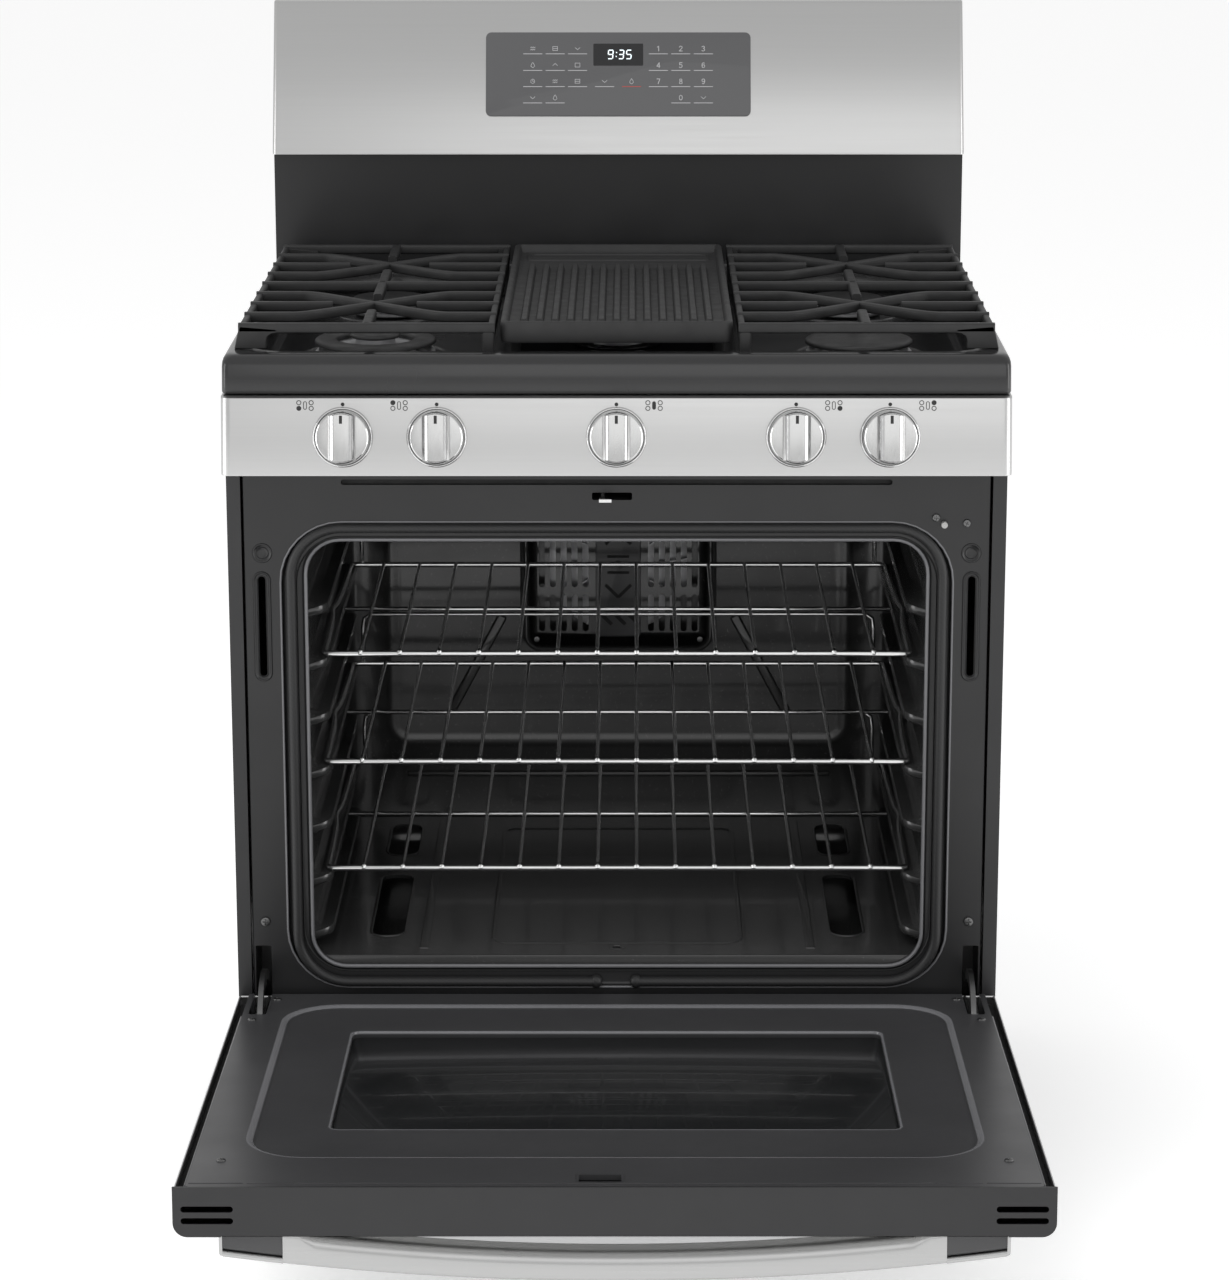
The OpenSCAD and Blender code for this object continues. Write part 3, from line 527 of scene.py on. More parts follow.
OXIDE = moulded("black_oxide", (0.035, 0.035, 0.038), (0.4, 0.55))
TRIM = moulded("vent_trim_paint", (0.012, 0.012, 0.013), (0.3, 0.4))
BRACKET = moulded("bracket_grey", (0.055, 0.055, 0.057), (0.4, 0.5))
GASKET = woven("gasket_cord")
WOOL = blanket("insulation_wool")
BOARD = board("circuit_board")
CERAMIC = moulded("spark_ceramic", (0.8, 0.77, 0.7), (0.12, 0.25), 0.01, Coat_Weight=0.4)
BRASS = polished("spindle_brass", 0.6, (0.15, 0.3))
SWITCH = moulded("switch_plastic", (0.42, 0.42, 0.41))
TOUCH = glass("touch_glass", (0.075, 0.075, 0.078), 0.34)
DISPLAY = glass("display_glass", (0.006, 0.006, 0.007), 0.05)
DARK_GLASS = glass("outer_door_glass", (0.006, 0.006, 0.007), 0.02)
WINDOW = glass("window_glass", (0.012, 0.0125, 0.013), 0.14)
LAMP = glass("lamp_glass", (0.9, 0.9, 0.86), 0.03, 0.9)
INK_BLACK = printed("print_black", (0.012, 0.012, 0.012))
INK_GREY = printed("print_grey", (0.45, 0.45, 0.46))
DARK_SCREW = polished("dark_screw_steel", 0.16, (0.3, 0.42))
INK_RED = printed("print_red", (0.42, 0.05, 0.04))
DIGIT = printed("display_digit", (0.75, 0.85, 0.9), 0.7)
# near-black stand-in for the shade in gaps, slots and hollows: painted shade
SHADE_BLACK = moulded("painted_shade_black", (0.004, 0.004, 0.004), (0.7, 0.8))


# ------------------------------------------------------------------ casing and frame
FRAME_HALF, FRAME_LOW, FRAME_TOP = 365, 222, 806.5
RECESS = (328.6, 239, 60, 0, 512)          # half width, half height, radius, centre
MOUTH = (303, 218, 33, 0, 513)
RACK_FIRST, RACK_PITCH = 329.25, 55.75
TURN_FRONT = Matrix.Rotation(math.pi / 2, 4, "X")      # local Z to -Y
SIDES = (-1, 1)


def grow(loop_spec, by, y):
    """Upright loop of a round rectangle grown by some millimetres."""
    hx, hy, r, cx, cy = loop_spec
    return upright(rr(hx + by, hy + by, max(r + by, 0.5), cx, cy, 8), y)


def grown(loop_spec, steps):
    """Such loops for pairs of growth and depth."""
    return [grow(loop_spec, by, y) for by, y in steps]


def front_frame():
    """Front face of the oven: slots, dimples, vent and the recess around the mouth."""
    s = Shape()
    holes = [rr(*RECESS, 8)]
    for sx in SIDES:
        holes.append(span(*sorted((sx * 345.8, sx * 361.7)), 237.8, 316.4, 1.5, 2))
        holes.append(rr(3.6, 50.4, 3.5, sx * 347, 646, 5))
        holes.append(circle(sx * 346, 720, 9.9, 28))
    holes.append(span(-24, 15, 773, 780.5, 1.5, 2))
    holes.append(span(-268, 268, 788, 793.5, 2.4, 3))
    holes.append(circle(319, 749, 3.3, 16))
    high, mid = (FRAME_TOP - FRAME_LOW) / 2, (FRAME_TOP + FRAME_LOW) / 2
    s.plate(rr(363.0, high, 1.0, 0, mid, 2), holes, 0, 1.4, upright)
    s.rings([upright(rr(x, high, 1.0, 0, mid, 2), y) for x, y in
             ((363.0, 0), (363.6, 0.5), (364.0, 1.6), (364.2, 2.8))])
    # recess around the mouth, with a rolled lip on each edge; thin strips of lighter enamel on the
    # outer step and the mouth lip are a painted highlight
    s.paint = 2
    s.rings(grown(RECESS, ((1.4, 0.2), (0.9, -0.6), (-0.2, -0.7), (-0.9, 0))))
    s.rings(grown(MOUTH, ((3.4, 3.4), (2.6, 2.4), (1.2, 2.0), (0.2, 2.6), (-0.4, 4.2))))
    s.paint = 0
    s.rings(grown(RECESS, ((1.6, 1.2), (1.6, -0.15), (0.5, -0.5), (-0.7, -0.2), (-1.3, 0.8),
                           (-1.8, 3.4), (-3.0, 4.3), (-4.0, 4.5), (-15.0, 4.5), (-15.4, 3.7),
                           (-16.0, 3.5), (-16.5, 3.9), (-16.6, 4.5)))
            + grown(MOUTH, ((5.2, 4.5), (4.2, 3.9), (2.6, 2.6), (1.2, 2.3), (0.3, 2.9),
                            (-0.3, 4.6), (0, 8))))
    # formed rims round the upright slots and the round holes
    for sx in SIDES:
        s.rings([upright(rr(3.6 + w, 50.4 + w, 3.5 + w, sx * 347, 646, 5), y)
                 for w, y in ((5.4, -0.02), (4.5, -1.2), (3.7, -1.2), (2.7, -0.2),
                              (1.4, -0.1), (0.7, -0.7), (0, 0.2), (0, 3.5))])
        s.rings([upright(circle(sx * 346, 720, r, 28), y)
                 for r, y in ((9.9, 0.2), (9.3, -0.7), (8.4, -0.7), (7.4, 0.2), (6.2, 0.5),
                              (5.5, -0.2), (4.8, 0.3), (3.0, 0.6))], False, True)
    s.slab((-343, 0.6, FRAME_LOW), (343, 18, FRAME_LOW + 1.5), 0.5)
    s.slab((-FRAME_HALF, 0.6, FRAME_TOP - 1.5), (FRAME_HALF, 18, FRAME_TOP), 0.5)
    # near-black sheet behind the vent: painted shade of the air way
    s.paint = 1
    s.slab((-271, 2.6, 786), (271, 3.4, 796), 0.2)
    make(s, "oven_front_frame", "range_body", BODY, [ENAMEL, SHADE_BLACK, ENAMEL_HIGHLIGHT],
         ["front_frame"])


def frame_screws():
    """Screws of the front frame and of both sides."""
    s = Shape()
    for sx in SIDES:
        s.screw((sx * 351, 0, 342), 5, 2.4, TURN_FRONT)
    s.screw((311, 0, 755.5), 4, 2.2, TURN_FRONT)
    s.screw((341, 0, 750), 4, 2.2, TURN_FRONT, 0.5)
    for sx in SIDES:
        for z in (120, 400, 700):
            s.screw((sx * 373.5, 634.2, z), 4, 0.8, Matrix.Rotation(-math.pi / 2, 4, "X"))
    make(s, "chassis_screw_heads", "range_body", BODY, [DARK_SCREW], ["chassis_screws"])


def rack_level(i):
    """Height of a rack position, counted from the lowest."""
    return RACK_FIRST + i * RACK_PITCH


def oven_liner():
    """Inside walls with the rack guides and the pressed ridges."""
    s = Shape()
    wall = (305, 249, 22, 0, 511)
    rear = [(0, 6), (0, 60), (0, 452), (-2, 463), (-7, 471), (-15, 476.5), (-24, 478)]
    loops = grown(wall, rear)
    # raised field of the rear wall, with a groove around it
    field = (257, 189, 25, 0, 575)
    loops += grown(field, ((3, 478), (0, 476.4), (-4, 475.4), (-8, 475.4), (-11, 476.8),
                           (-15, 477.3)))
    s.rings(loops, False, True)
    s.rings([grow(wall, 1.2, 6.2), grow(wall, 1.2, 478), grow(wall, -18, 479.2)], False, True)
    s.rings([upright(span(-320, 320, 252, 770, 4, 8), 6.6), grow(wall, 0.2, 6.6)])
    # ribs that carry the racks, pressed out of both side walls
    for i in range(7):
        top = rack_level(i) - 3.2
        for sx in SIDES:
            section = [(305.6, top + 5), (300, top + 0.6), (296, top), (286.5, top),
                       (285.2, top - 1.6), (285.2, top - 6), (287.5, top - 9.5),
                       (298, top - 13.5), (305.6, top - 18)]
            loops = []
            for y, k in ((24, 0.02), (28, 0.5), (34, 0.86), (42, 1), (430, 1), (437, 0.85),
                         (443, 0.4), (446, 0.02)):
                loops.append([(sx * (305.6 - (305.6 - x) * k), y, top - 6 + (z - top + 6) *
                               (0.35 + 0.65 * k)) for x, z in section])
            s.rings(loops, True, True)
    # ridges pressed into the rear wall: a cross behind the fan cover and two at the bottom
    for sx in SIDES:
        for sz in SIDES:
            a = math.atan2(sz * 188, sx * 100)
            s.at = (Matrix.Translation((sx * 128, 477.4, 600 + sz * 64))
                    @ Matrix.Rotation(-a, 4, "Y"))
            s.slab((0, -3.2, -5.5), (126, 1, 5.5), 2.6, 3)
        s.at = Matrix.Identity(4)
    s.slab((-236, 474.2, 350), (236, 478.5, 356), 2.0, 3)
    make(s, "oven_cavity", "range_body", BODY, [ENAMEL_OVEN], ["oven_liner"])


def oven_floor():
    """Loose bottom panel with its slots and pressed field."""
    s = Shape()
    slot_x, slots = 234, ((16, 98, 164), (16, 54, 386))
    holes = [rr(hx, hy, 15, sx * slot_x, cy) for sx in SIDES for hx, hy, cy in slots]
    holes.append(circle(0, 30, 4, 16))
    half = 303.5
    s.plate(span(-half, half, 9, 470, 4, 3), holes, 302.6, 304, flat)
    s.slab((-half, 7, 284), (half, 9.4, 303.9), 1.0)
    for sx in SIDES:
        x0, x1 = sorted((sx * half, sx * (half - 2)))
        s.slab((x0, 9, 262), (x1, 470, 303.5), 0.6)
        s.slab((sx * 194.75 - 4.75, 26, 302.8), (sx * 194.75 + 4.75, 455, 305.4), 1.3, 3)
        for hx, hy, cy in slots:
            s.rings([flat(rr(hx + w, hy + w, 15 + w, sx * slot_x, cy), z) for w, z in
                     ((3.2, 304), (2.4, 304.9), (1.0, 305.1), (0, 304.3), (0, 301.5))])
    s.rings([flat(rr(123 + w, 190 + w, 14 + w, 0, 236), z) for w, z in
             ((5, 304), (3.6, 305.1), (1.4, 305.3), (0, 304.1), (-1, 304))])
    s.rings([flat(circle(0, 30, r, 20), z) for r, z in ((9, 304), (8, 304.8), (5, 304.8),
                                                         (4, 303.5))])
    make(s, "oven_floor_pan", "range_body", BODY, [ENAMEL_OVEN], ["oven_floor"])


FAN_Z = 600


def fan_cover():
    """Pressed cover with upright openings and a dark panel of bars in the middle."""
    s = Shape()
    spec = (105, 100, 20, 0, FAN_Z)
    s.rings(grown(spec, ((4, 478), (3, 476.5), (0, 475.5), (0, 456), (-0.8, 453.6), (-3, 452)))
            + [grow(spec, -9, 452)])
    slots = []
    for k in range(-7, 8):
        if abs(k) > 2:
            slots += [span(k * 12 - 3.3, k * 12 + 3.3, z0, z1, 3.2, 4)
                      for z0, z1 in ((524, 566), (574, 630), (638, 676))]
    s.plate(rr(96, 91, 11, 0, FAN_Z, 8), slots, 452, 453.2, upright)
    s.paint = 1
    s.rings([upright(span(-25 + g, 25 - g, 518 + g, 682 - g, 4, 4), y)
             for g, y in ((0, 452.2), (0.5, 451.3), (1.4, 451.0))], False, True)
    # near-black slot marks on the middle panel: painted shade of its openings
    s.paint = 2
    for sz in SIDES:
        for k in range(-1, 2):
            s.at = (Matrix.Translation((k * 15, 450.9, FAN_Z + sz * 60))
                    @ Matrix.Rotation(math.radians(45 * sz), 4, "Y"))
            s.slab((-2.1, -0.1, -11), (2.1, 0.6, 11), 0.1, 2)
        for sx in SIDES:
            s.at = (Matrix.Translation((sx * 7, 450.9, FAN_Z + sz * 30))
                    @ Matrix.Rotation(math.radians(sx * sz * 45), 4, "Y"))
            s.slab((-10, -0.1, -1.8), (10, 0.6, 1.8), 0.1, 2)
        s.at = Matrix.Translation((0, 450.9, FAN_Z + sz * 9))
        s.slab((-12, -0.1, -1.5), (12, 0.6, 1.5), 0.1, 2)
    s.at = Matrix.Identity(4)
    s.paint = 3
    s.screw((0, 450.9, FAN_Z), 4.4, 2.0, TURN_FRONT)
    for sx in SIDES:
        for sz in SIDES:
            s.screw((sx * 90, 452, FAN_Z + sz * 85), 3.4, 1.6, TURN_FRONT)
    make(s, "convection_fan_cover", "range_body", BODY,
         [ENAMEL_OVEN, FAN_BARS, SHADE_BLACK, DARK_SCREW], ["fan_cover"])


def fan_wheel():
    """Wheel with straight blades behind its cover."""
    s = Shape()
    s.lathe([(0.5, 459.6), (10.5, 459.6), (12, 461), (12, 467), (16, 468), (78, 468.2),
             (80, 468.6), (80, 469), (14, 469.2), (4, 470), (4, 520), (0.5, 520.4)],
            (0, 0, FAN_Z), Matrix.Rotation(-math.pi / 2, 4, "X"), 48)
    for k in range(12):
        s.at = Matrix.Translation((0, 0, FAN_Z)) @ Matrix.Rotation(k * math.pi / 6, 4, "Y")
        loops = []
        for x, lean in ((40, 0), (55, 1.2), (70, 3.2), (78, 5)):
            loops.append([(x, 459.2, lean - 0.5), (x, 459.2, lean + 0.5), (x, 468.3, lean + 0.5),
                          (x, 468.3, lean - 0.5)])
        s.rings(loops, True, True)
    s.at = Matrix.Identity(4)
    make(s, "convection_fan_wheel", "fan_blade", BODY, [DULL], ["fan_blade"])


def door_gasket():
    """Seal in the outer corner of the recess, open at the bottom in the middle."""
    hx, hz, r, cz = 318.6, 233.2, 50, 512
    bottom = cz - hz
    # from right of the gap, up the right side, over the top and down to the gap
    path = [(16, bottom)] + rr(hx, hz, r, 0, cz, 12) + [(-18, bottom)]
    dense = []
    for a, b in zip(path, path[1:]):
        a, b = Vector((a[0], -0.6, a[1])), Vector((b[0], -0.6, b[1]))
        steps = max(1, int((b - a).length / 14))
        dense += [a.lerp(b, i / steps) for i in range(steps)]
    dense.append(Vector((path[-1][0], -0.6, path[-1][1])))
    s = Shape()
    s.tube(dense, 5.6, 14, flatten=0.9)
    for x in (19, -21):
        s.lathe([(0.5, -6.4), (3.6, -5.8), (5.6, -3), (6.2, 0), (5.6, 3), (3.6, 5.8),
                 (0.5, 6.4)], (x, -0.4, bottom), None, 20)
    make(s, "door_seal", "range_body", BODY, [GASKET], ["door_gasket"], sharp=80)


def rack(name, level):
    """Wire rack with a guard at the back."""
    s = Shape()
    side = [(291, 40), (291.4, 90), (292.2, 150), (293.6, 190), (296, 212), (296, 222),
            (293.4, 240), (292, 270), (291, 330), (291, 418)]
    # frame wire: front bar, rounded corners, both sides and the rear bar
    front = [(x, 40, level) for x in (-286, -150, 0, 150, 286)]
    right = [(290, 41.5, level), (291, 46, level)] + [(x, y, level) for x, y in side[1:-1]]
    right += [(291, 408, level), (289.5, 416, level), (283, 418, level)]
    left = [(-x, y, z) for x, y, z in reversed(right)]
    s.tube(front + right + [(100, 418, level), (-100, 418, level)] + left, 3.0, 10, True)
    s.tube([(-283, 231, level - 2.5), (283, 231, level - 2.5)], 2.4, 8)
    # raised guard at the back
    s.tube([(-279, 418, level), (-279, 418, level + 40), (-277.5, 418, level + 51),
            (-270, 418, level + 56), (270, 418, level + 56), (277.5, 418, level + 51),
            (279, 418, level + 40), (279, 418, level)], 2.4, 8)
    for i in range(14):
        x = -255 + i * 510 / 13
        s.tube([(x, 37.2, level + 0.4), (x, 38.6, level + 2.9), (x, 42.5, level + 3.4),
                (x, 47, level + 1.6), (x, 60, level + 1.0), (x, 230, level + 1.2),
                (x, 412, level + 1.0), (x, 417, level + 1.6)], 2.0, 8)
        s.lathe([(0.4, -2.9), (2.0, -2.3), (2.9, -0.8), (2.9, 0.8), (2.0, 2.3), (0.4, 2.9)],
                (x, 39.6, level + 2.2), None, 12)
    make(s, name + "_wires", name, BODY, [CHROME], [name], sharp=70)


# ------------------------------------------------------------------ cooktop
COOK_Z, WELL_Z, GRATE_Z = 919, 889, 944
BURNER_X, FRONT_ROW, MIDDLE_ROW, REAR_ROW = 242, 145, 269, 393
TWO_RING = 60                                   # radius of the burner with two rings
BURNERS = [(-BURNER_X, FRONT_ROW, TWO_RING), (BURNER_X, FRONT_ROW, 53),
           (-BURNER_X, REAR_ROW, 40), (BURNER_X, REAR_ROW, 40)]
CENTRE_BURNER = (0, MIDDLE_ROW, 30, 80)         # x, y, half width, half depth
PRESSED_RING = ((17, 0), (15.6, 1.1), (13.4, 1.3), (11.4, 0.2), (10, -0.1))
GRATE_FRONT, GRATE_REAR = 21, 517


def cooktop():
    """Pressed top with a round rim, a well and rings around the burners."""
    s = Shape()
    back = 573

    def tray(half, y0, y1, r, z):
        return flat(span(-half, half, y0, y1, r, 8), z)

    s.rings([tray(377.0, -20.5, back - 2, 5, 882), tray(378.8, -22.3, back - 0.6, 6, 882.7),
             tray(379.5, -22.9, back, 6.5, 884.4),
             tray(379.5, -18.4, back, 7, 908), tray(379.1, -17.0, back, 7.4, 912),
             tray(378.0, -14.8, back - 0.6, 8, 915.4), tray(376.2, -11.8, back - 1.5, 9, 917.8),
             tray(373.6, -8.2, back - 3, 10, 918.8), tray(370, -4, back - 6, 12, COOK_Z),
             tray(356, 6, 552, 34, COOK_Z), tray(353.5, 8.6, 549.5, 32, 918),
             tray(351.6, 10.6, 547.5, 30.5, 915.6), tray(350, 12.4, 545.6, 29.5, 906),
             tray(348.6, 14, 544, 28.5, 896), tray(346.4, 16.2, 541.8, 27, 891.6),
             tray(342, 20.4, 537.6, 24, 889.4), tray(338, 24, 534, 21, WELL_Z)])
    s.rings([tray(377.0, -20.5, back - 2, 5, 882), tray(376.0, -19.5, back - 3, 4, 882.4),
             tray(376.0, -19.0, back - 3, 4, 886)])
    holes = [circle(x, y, 19, 24) for x, y, _ in BURNERS] + [rr(24, 70, 22, 0, MIDDLE_ROW, 6)]
    s.plate(span(-338, 338, 24, 534, 21, 8), holes, WELL_Z - 1.6, WELL_Z, flat)
    # pressed rings around the burners
    for x, y, r in BURNERS:
        s.rings([flat(circle(x, y, r + g, 56), WELL_Z + z) for g, z in PRESSED_RING])
    x, y, hx, hy = CENTRE_BURNER
    s.rings([flat(rr(hx + g, hy + g, hx - 1 + g, x, y, 10), WELL_Z + z)
             for g, z in PRESSED_RING])
    make(s, "cooktop_pan", "range_body", BODY, [ENAMEL_COOKTOP], ["cooktop"],
         sharp=40)


def round_burner(s, x, y, r):
    """Cast head with flame ports all round."""
    base = WELL_Z - 19
    n = 72
    profile = [(17.6, base, 0), (18, WELL_Z + 1, 0), (r - 7, WELL_Z + 1.4, 0),
               (r - 0.8, WELL_Z + 2, 0), (r, WELL_Z + 3, 0), (r, WELL_Z + 5.2, 0),
               (r - 1.2, WELL_Z + 6.2, 0), (r - 3.6, WELL_Z + 6.8, 1),
               (r - 3.8, WELL_Z + 11, 1), (r - 5, WELL_Z + 12.6, 0), (r - 10, WELL_Z + 12.8, 0)]
    loops = []
    for radius, z, ported in profile:
        loop = []
        for i in range(n):
            notch = 2.2 if ported and i % 3 == 0 else 0
            a = 2 * math.pi * i / n
            loop.append((x + (radius - notch) * math.cos(a), y + (radius - notch) * math.sin(a),
                         z))
        loops.append(loop)
    s.rings(loops, True, True)


def burners():
    """Heads, caps and igniters of all five burners."""
    base, caps = Shape(), Shape()
    overhang = 0.8
    for x, y, r in BURNERS:
        round_burner(base, x, y, r)
        q = r + overhang
        if r == TWO_RING:
            # ring cap of the two-ring burner, and the small cap inside it
            caps.lathe([(38, 13), (q - 2, 13.2), (q, 14.2), (q - 0.3, 16.4), (q - 2, 18),
                        (q - 6, 18.8), (44, 18.9), (40, 18.4), (38.4, 17), (38, 15), (38, 13)],
                       (x, y, WELL_Z), None, 64, False, False)
            base.lathe([(16, 6), (20, 7), (20.4, 9), (19.6, 16), (20.2, 18.6), (17, 19.6)],
                       (x, y, WELL_Z), None, 40)
            caps.lathe([(20, 19.4), (24.4, 19.5), (25.2, 20.4), (25, 22.2), (23.4, 23.4),
                        (14, 23.9), (0.5, 24)], (x, y, WELL_Z), None, 48)
            continue
        caps.lathe([(q - 3, 13), (q - 0.6, 13.2), (q, 14.2), (q - 0.2, 16.2), (q - 1.6, 17.6),
                    (q * 0.86, 18.3), (q * 0.56, 18.6), (q * 0.5, 19.2), (q * 0.46, 19.6),
                    (q * 0.2, 19.9), (0.5, 20)], (x, y, WELL_Z), None, 64)
    x, y, hx, hy = CENTRE_BURNER
    base.rings([flat(rr(hx + g, hy + g, hx + g - 0.4, x, y, 12), WELL_Z + z) for g, z in
                ((-14, -19), (-12, 1), (-4, 1.4), (0, 2.4), (0, 5.4), (-1.2, 6.4), (-3, 7),
                 (-3.4, 11), (-5, 12.8))], True, True)
    caps.rings([flat(rr(hx + g, hy + g, hx + g - 0.4, x, y, 12), WELL_Z + z) for g, z in
                ((-1, 13), (2.4, 13.2), (3, 14.2), (2.8, 16), (1.2, 17.4), (-6, 18))],
               True, True)
    make(base, "burner_heads", "range_body", BODY, [ALUMINIUM], ["burner_bases"])
    make(caps, "burner_cap_discs", "range_body", BODY, [CAP], ["burner_caps"],
         sharp=50)
    sparks = Shape()
    for x, y, reach in BURNERS + [(0, MIDDLE_ROW, hy)]:
        sparks.lathe([(3.4, -14), (3.4, 7), (2.8, 8), (1.1, 8.4), (1.0, 11), (0.4, 11.4)],
                     (x, y + reach + 8, WELL_Z), None, 20)
    make(sparks, "igniters", "range_body", BODY, [CERAMIC], ["spark_electrodes"])


def finger(x0, y0, cx, cy, bend):
    """Path in from the side rail, round a bend and on to the middle of the burner."""
    path = [(x0, y0), (x0 + (bend[0] - x0) * 0.5, y0)]
    a = Vector(((bend[0] - x0) * 0.82 + x0, y0))
    b = Vector((bend[0], y0))
    c = Vector((bend[0] + (cx - bend[0]) * 0.35, y0 + (cy - y0) * 0.35))
    for k in range(7):
        u = k / 6
        q = a * (1 - u) ** 2 + b * 2 * u * (1 - u) + c * u * u
        path.append((q.x, q.y))
    return path + [(cx, cy)]


def straight(a, b, end=1.2):
    """Path of a straight rail with its two tapered ends."""
    a, b = Vector(a), Vector(b)
    step = (b - a).normalized() * end
    return [a, a + step, b - step, b]


def side_grate(name, sign):
    """Casting with fingers over two burners, and its four legs as a piece of their own."""
    s = Shape()
    s.at = Matrix.Translation((sign * BURNER_X, 0, 0))
    half, front, rear, pitch = 124, GRATE_FRONT, GRATE_REAR, 62
    w, h, top = 8.5, 10, GRATE_Z
    tip, opening = 42, 46                       # reach of the short fingers and of the cross
    # cross rails at the front and the rear, lower rails along both sides
    for y in (front, rear):
        s.rail(straight((-half, y), (half, y)), w, top, h)
    for sx in SIDES:
        x = sx * (half - 3.4)
        s.rail(straight((x, front), (x, rear)), 6.6, top - 2, 15)
    s.rail(straight((-half, MIDDLE_ROW), (half, MIDDLE_ROW)), w, top, h)
    for y in (FRONT_ROW, REAR_ROW):
        for sx in SIDES:
            s.rail(straight((sx * half, y), (sx * tip, y)), w, top, h)
            for sy in SIDES:
                s.rail(finger(sx * half, y + sy * pitch, 0, y, (sx * 66, y + sy * pitch)), w,
                       top - 0.02 * sx - 0.05 * (sy + 1), h)
    for a, b in ((front, FRONT_ROW - opening), (FRONT_ROW + opening, REAR_ROW - opening),
                 (REAR_ROW + opening, rear)):
        s.rail(straight((0, a), (0, b)), w + 1.2, top, h)
    s.at = Matrix.Identity(4)
    make(s, name + "_casting", name, BODY, [IRON], [name], sharp=40)
    # legs: the outer ones flare on to the rim, the inner ones stand in the well
    s = Shape()
    s.at = Matrix.Translation((sign * BURNER_X, 0, 0))
    depth = 13
    for y in (front - w / 2, rear + w / 2 - depth):
        ramp = [(half - 1, top - 4), (half + 0.8, top - 10), (half + 4, COOK_Z + 0.6),
                (half + 3.4, COOK_Z + 0.3), (half - 26, COOK_Z + 0.3), (half - 26.8, COOK_Z + 1),
                (half - 27, COOK_Z + 8), (half - 28.5, top - 12.5), (half - 33, top - 9.4),
                (half - 38, top - 8.6), (half - 38, top - 6), (half - 2, top - 3)]
        loops = []
        for dy, g in ((0, 0.7), (0.6, 0.15), (1.4, 0), (11.6, 0), (12.4, 0.15),
                      (depth, 0.7)):
            mx, mz = half - 12, top - 12
            loops.append([(sign * (x + (mx - x) * g / 12), y + dy, z + (mz - z) * g / 12)
                          for x, z in ramp])
        s.rings(loops, True, True)
        x0, x1 = sorted((-sign * half, -sign * (half - depth)))
        s.rings([flat(span(x0 + g, x1 - g, y + g, y + depth - g, 3, 3), z)
                 for g, z in ((3.2, WELL_Z + 0.3), (2.2, WELL_Z + 1.1), (0.6, top - 14),
                              (0.2, top - 4))], True, True)
    make(s, name + "_legs", name, BODY, [IRON], [], sharp=20)


def griddle():
    """Ribbed plate over the centre burner."""
    s = Shape()
    half, front, rear = 113, GRATE_FRONT, GRATE_REAR
    top = GRATE_Z + 1

    def ring(g, z, r=10, far=0.0):
        return flat(span(-half + g, half - g, front + g + far, rear - g - far, max(r - g, 1.5), 6),
                    top + z)

    s.rings([ring(10, -20.5), ring(3.5, -21.4), ring(1.2, -20.6), ring(0.4, -18), ring(0, -4),
             ring(0.5, -1.2), ring(2.0, 0), ring(4.6, 0), ring(6.2, -1.2), ring(7.2, -4),
             ring(8.0, -7.4, 10, 3), ring(10, -8.6, 10, 4)], True, True)
    for i in range(-6, 7):
        x = i * 15.1
        s.rings([flat(span(x - w, x + w, 54 + g, 402 - g, w * 0.98, 4), top + z)
                 for w, g, z in ((4.4, 0, -8.9), (3.6, 1, -7.6), (3.0, 1.6, -4.2),
                                 (2.2, 2.2, -3.2), (1.0, 3.2, -3.0))], True, True)
    s.rings([flat(span(-95 + g, 95 - g, 452 + g, 490 - g, 8, 5), top + z)
             for g, z in ((-3.5, -8.5), (-2.0, -7.2), (0, -7.0), (1.2, -8.2), (1.8, -8.5))])
    for sx in SIDES:
        for y in (front + 90, rear - 102):
            s.rings([flat(span(sx * 101 - 6 + g, sx * 101 + 6 - g, y + g, y + 12 - g, 2.5, 3), z)
                     for g, z in ((2.2, WELL_Z + 0.3), (1.0, WELL_Z + 1.2), (0, top - 20))],
                    True, True)
    make(s, "griddle_casting", "griddle", BODY, [IRON_GRIDDLE], ["griddle"],
         sharp=40)


# ------------------------------------------------------------------ controls
PANEL_LOW, PANEL_HIGH = (-49, 807), (-36, 881)   # y and z where the sloping face ends
WIDE = 379.5                                     # half width of the panel and the backguard


def rolled_ends(section, half, recede, steps=5, r=9.0):
    """Cross-section loops along X whose front edges fall back at both ends.
    section(back) gives the loop when the front stands back by that much."""
    xs = []
    for j in range(steps + 1):
        a = math.pi / 2 * j / steps
        xs.append((-half + r * (1 - math.cos(a)), recede * (1 - math.sin(a))))
    xs += [(-x, b) for x, b in reversed(xs)]
    return [[(x, y, z) for y, z in section(back)] for x, back in xs]


def control_panel():
    """Sloping steel panel and the rings around the knobs."""
    s = Shape()
    (y0, z0), (y1, z1) = PANEL_LOW, PANEL_HIGH

    def section(back):
        f = 1.5
        return [(-2, z0), (y0 + f + back, z0), (y0 + 0.3 + back, z0 + 0.5), (y0 + back + 0.1,
                z0 + f + 0.4), (y1 + back - 0.2, z1 - f - 0.4), (y1 + 0.3 + back, z1 - 0.4),
                (y1 + f + back, z1), (-2, z1)]

    s.rings(rolled_ends(section, WIDE, 9.0, 8, 10.0), False, False, False)
    for sx in SIDES:
        s.add([(sx * WIDE, y, z) for y, z in
               ((-2, z0), (y0 + 10.5, z0), (y1 + 10.5, z1), (-2, z1))], [(0, 1, 2, 3)])
    make(s, "control_panel_face", "range_body", BODY, [STEEL], ["control_panel"],
         sharp=50)
    for i, x in enumerate(KNOB_XS):
        ring = Shape()
        ring.lathe([(26.4, 0.3), (26.4, 2.4), (26.9, 3.3), (27.6, 3.6), (28.3, 3.2), (28.9, 2.0),
                    (29.2, 0.2)], n=72, first=False, last=False)
        make(ring, f"knob_bezel_{i + 1}", "range_body", panel_frame(x), [STEEL_EDGE], [],
             sharp=60)


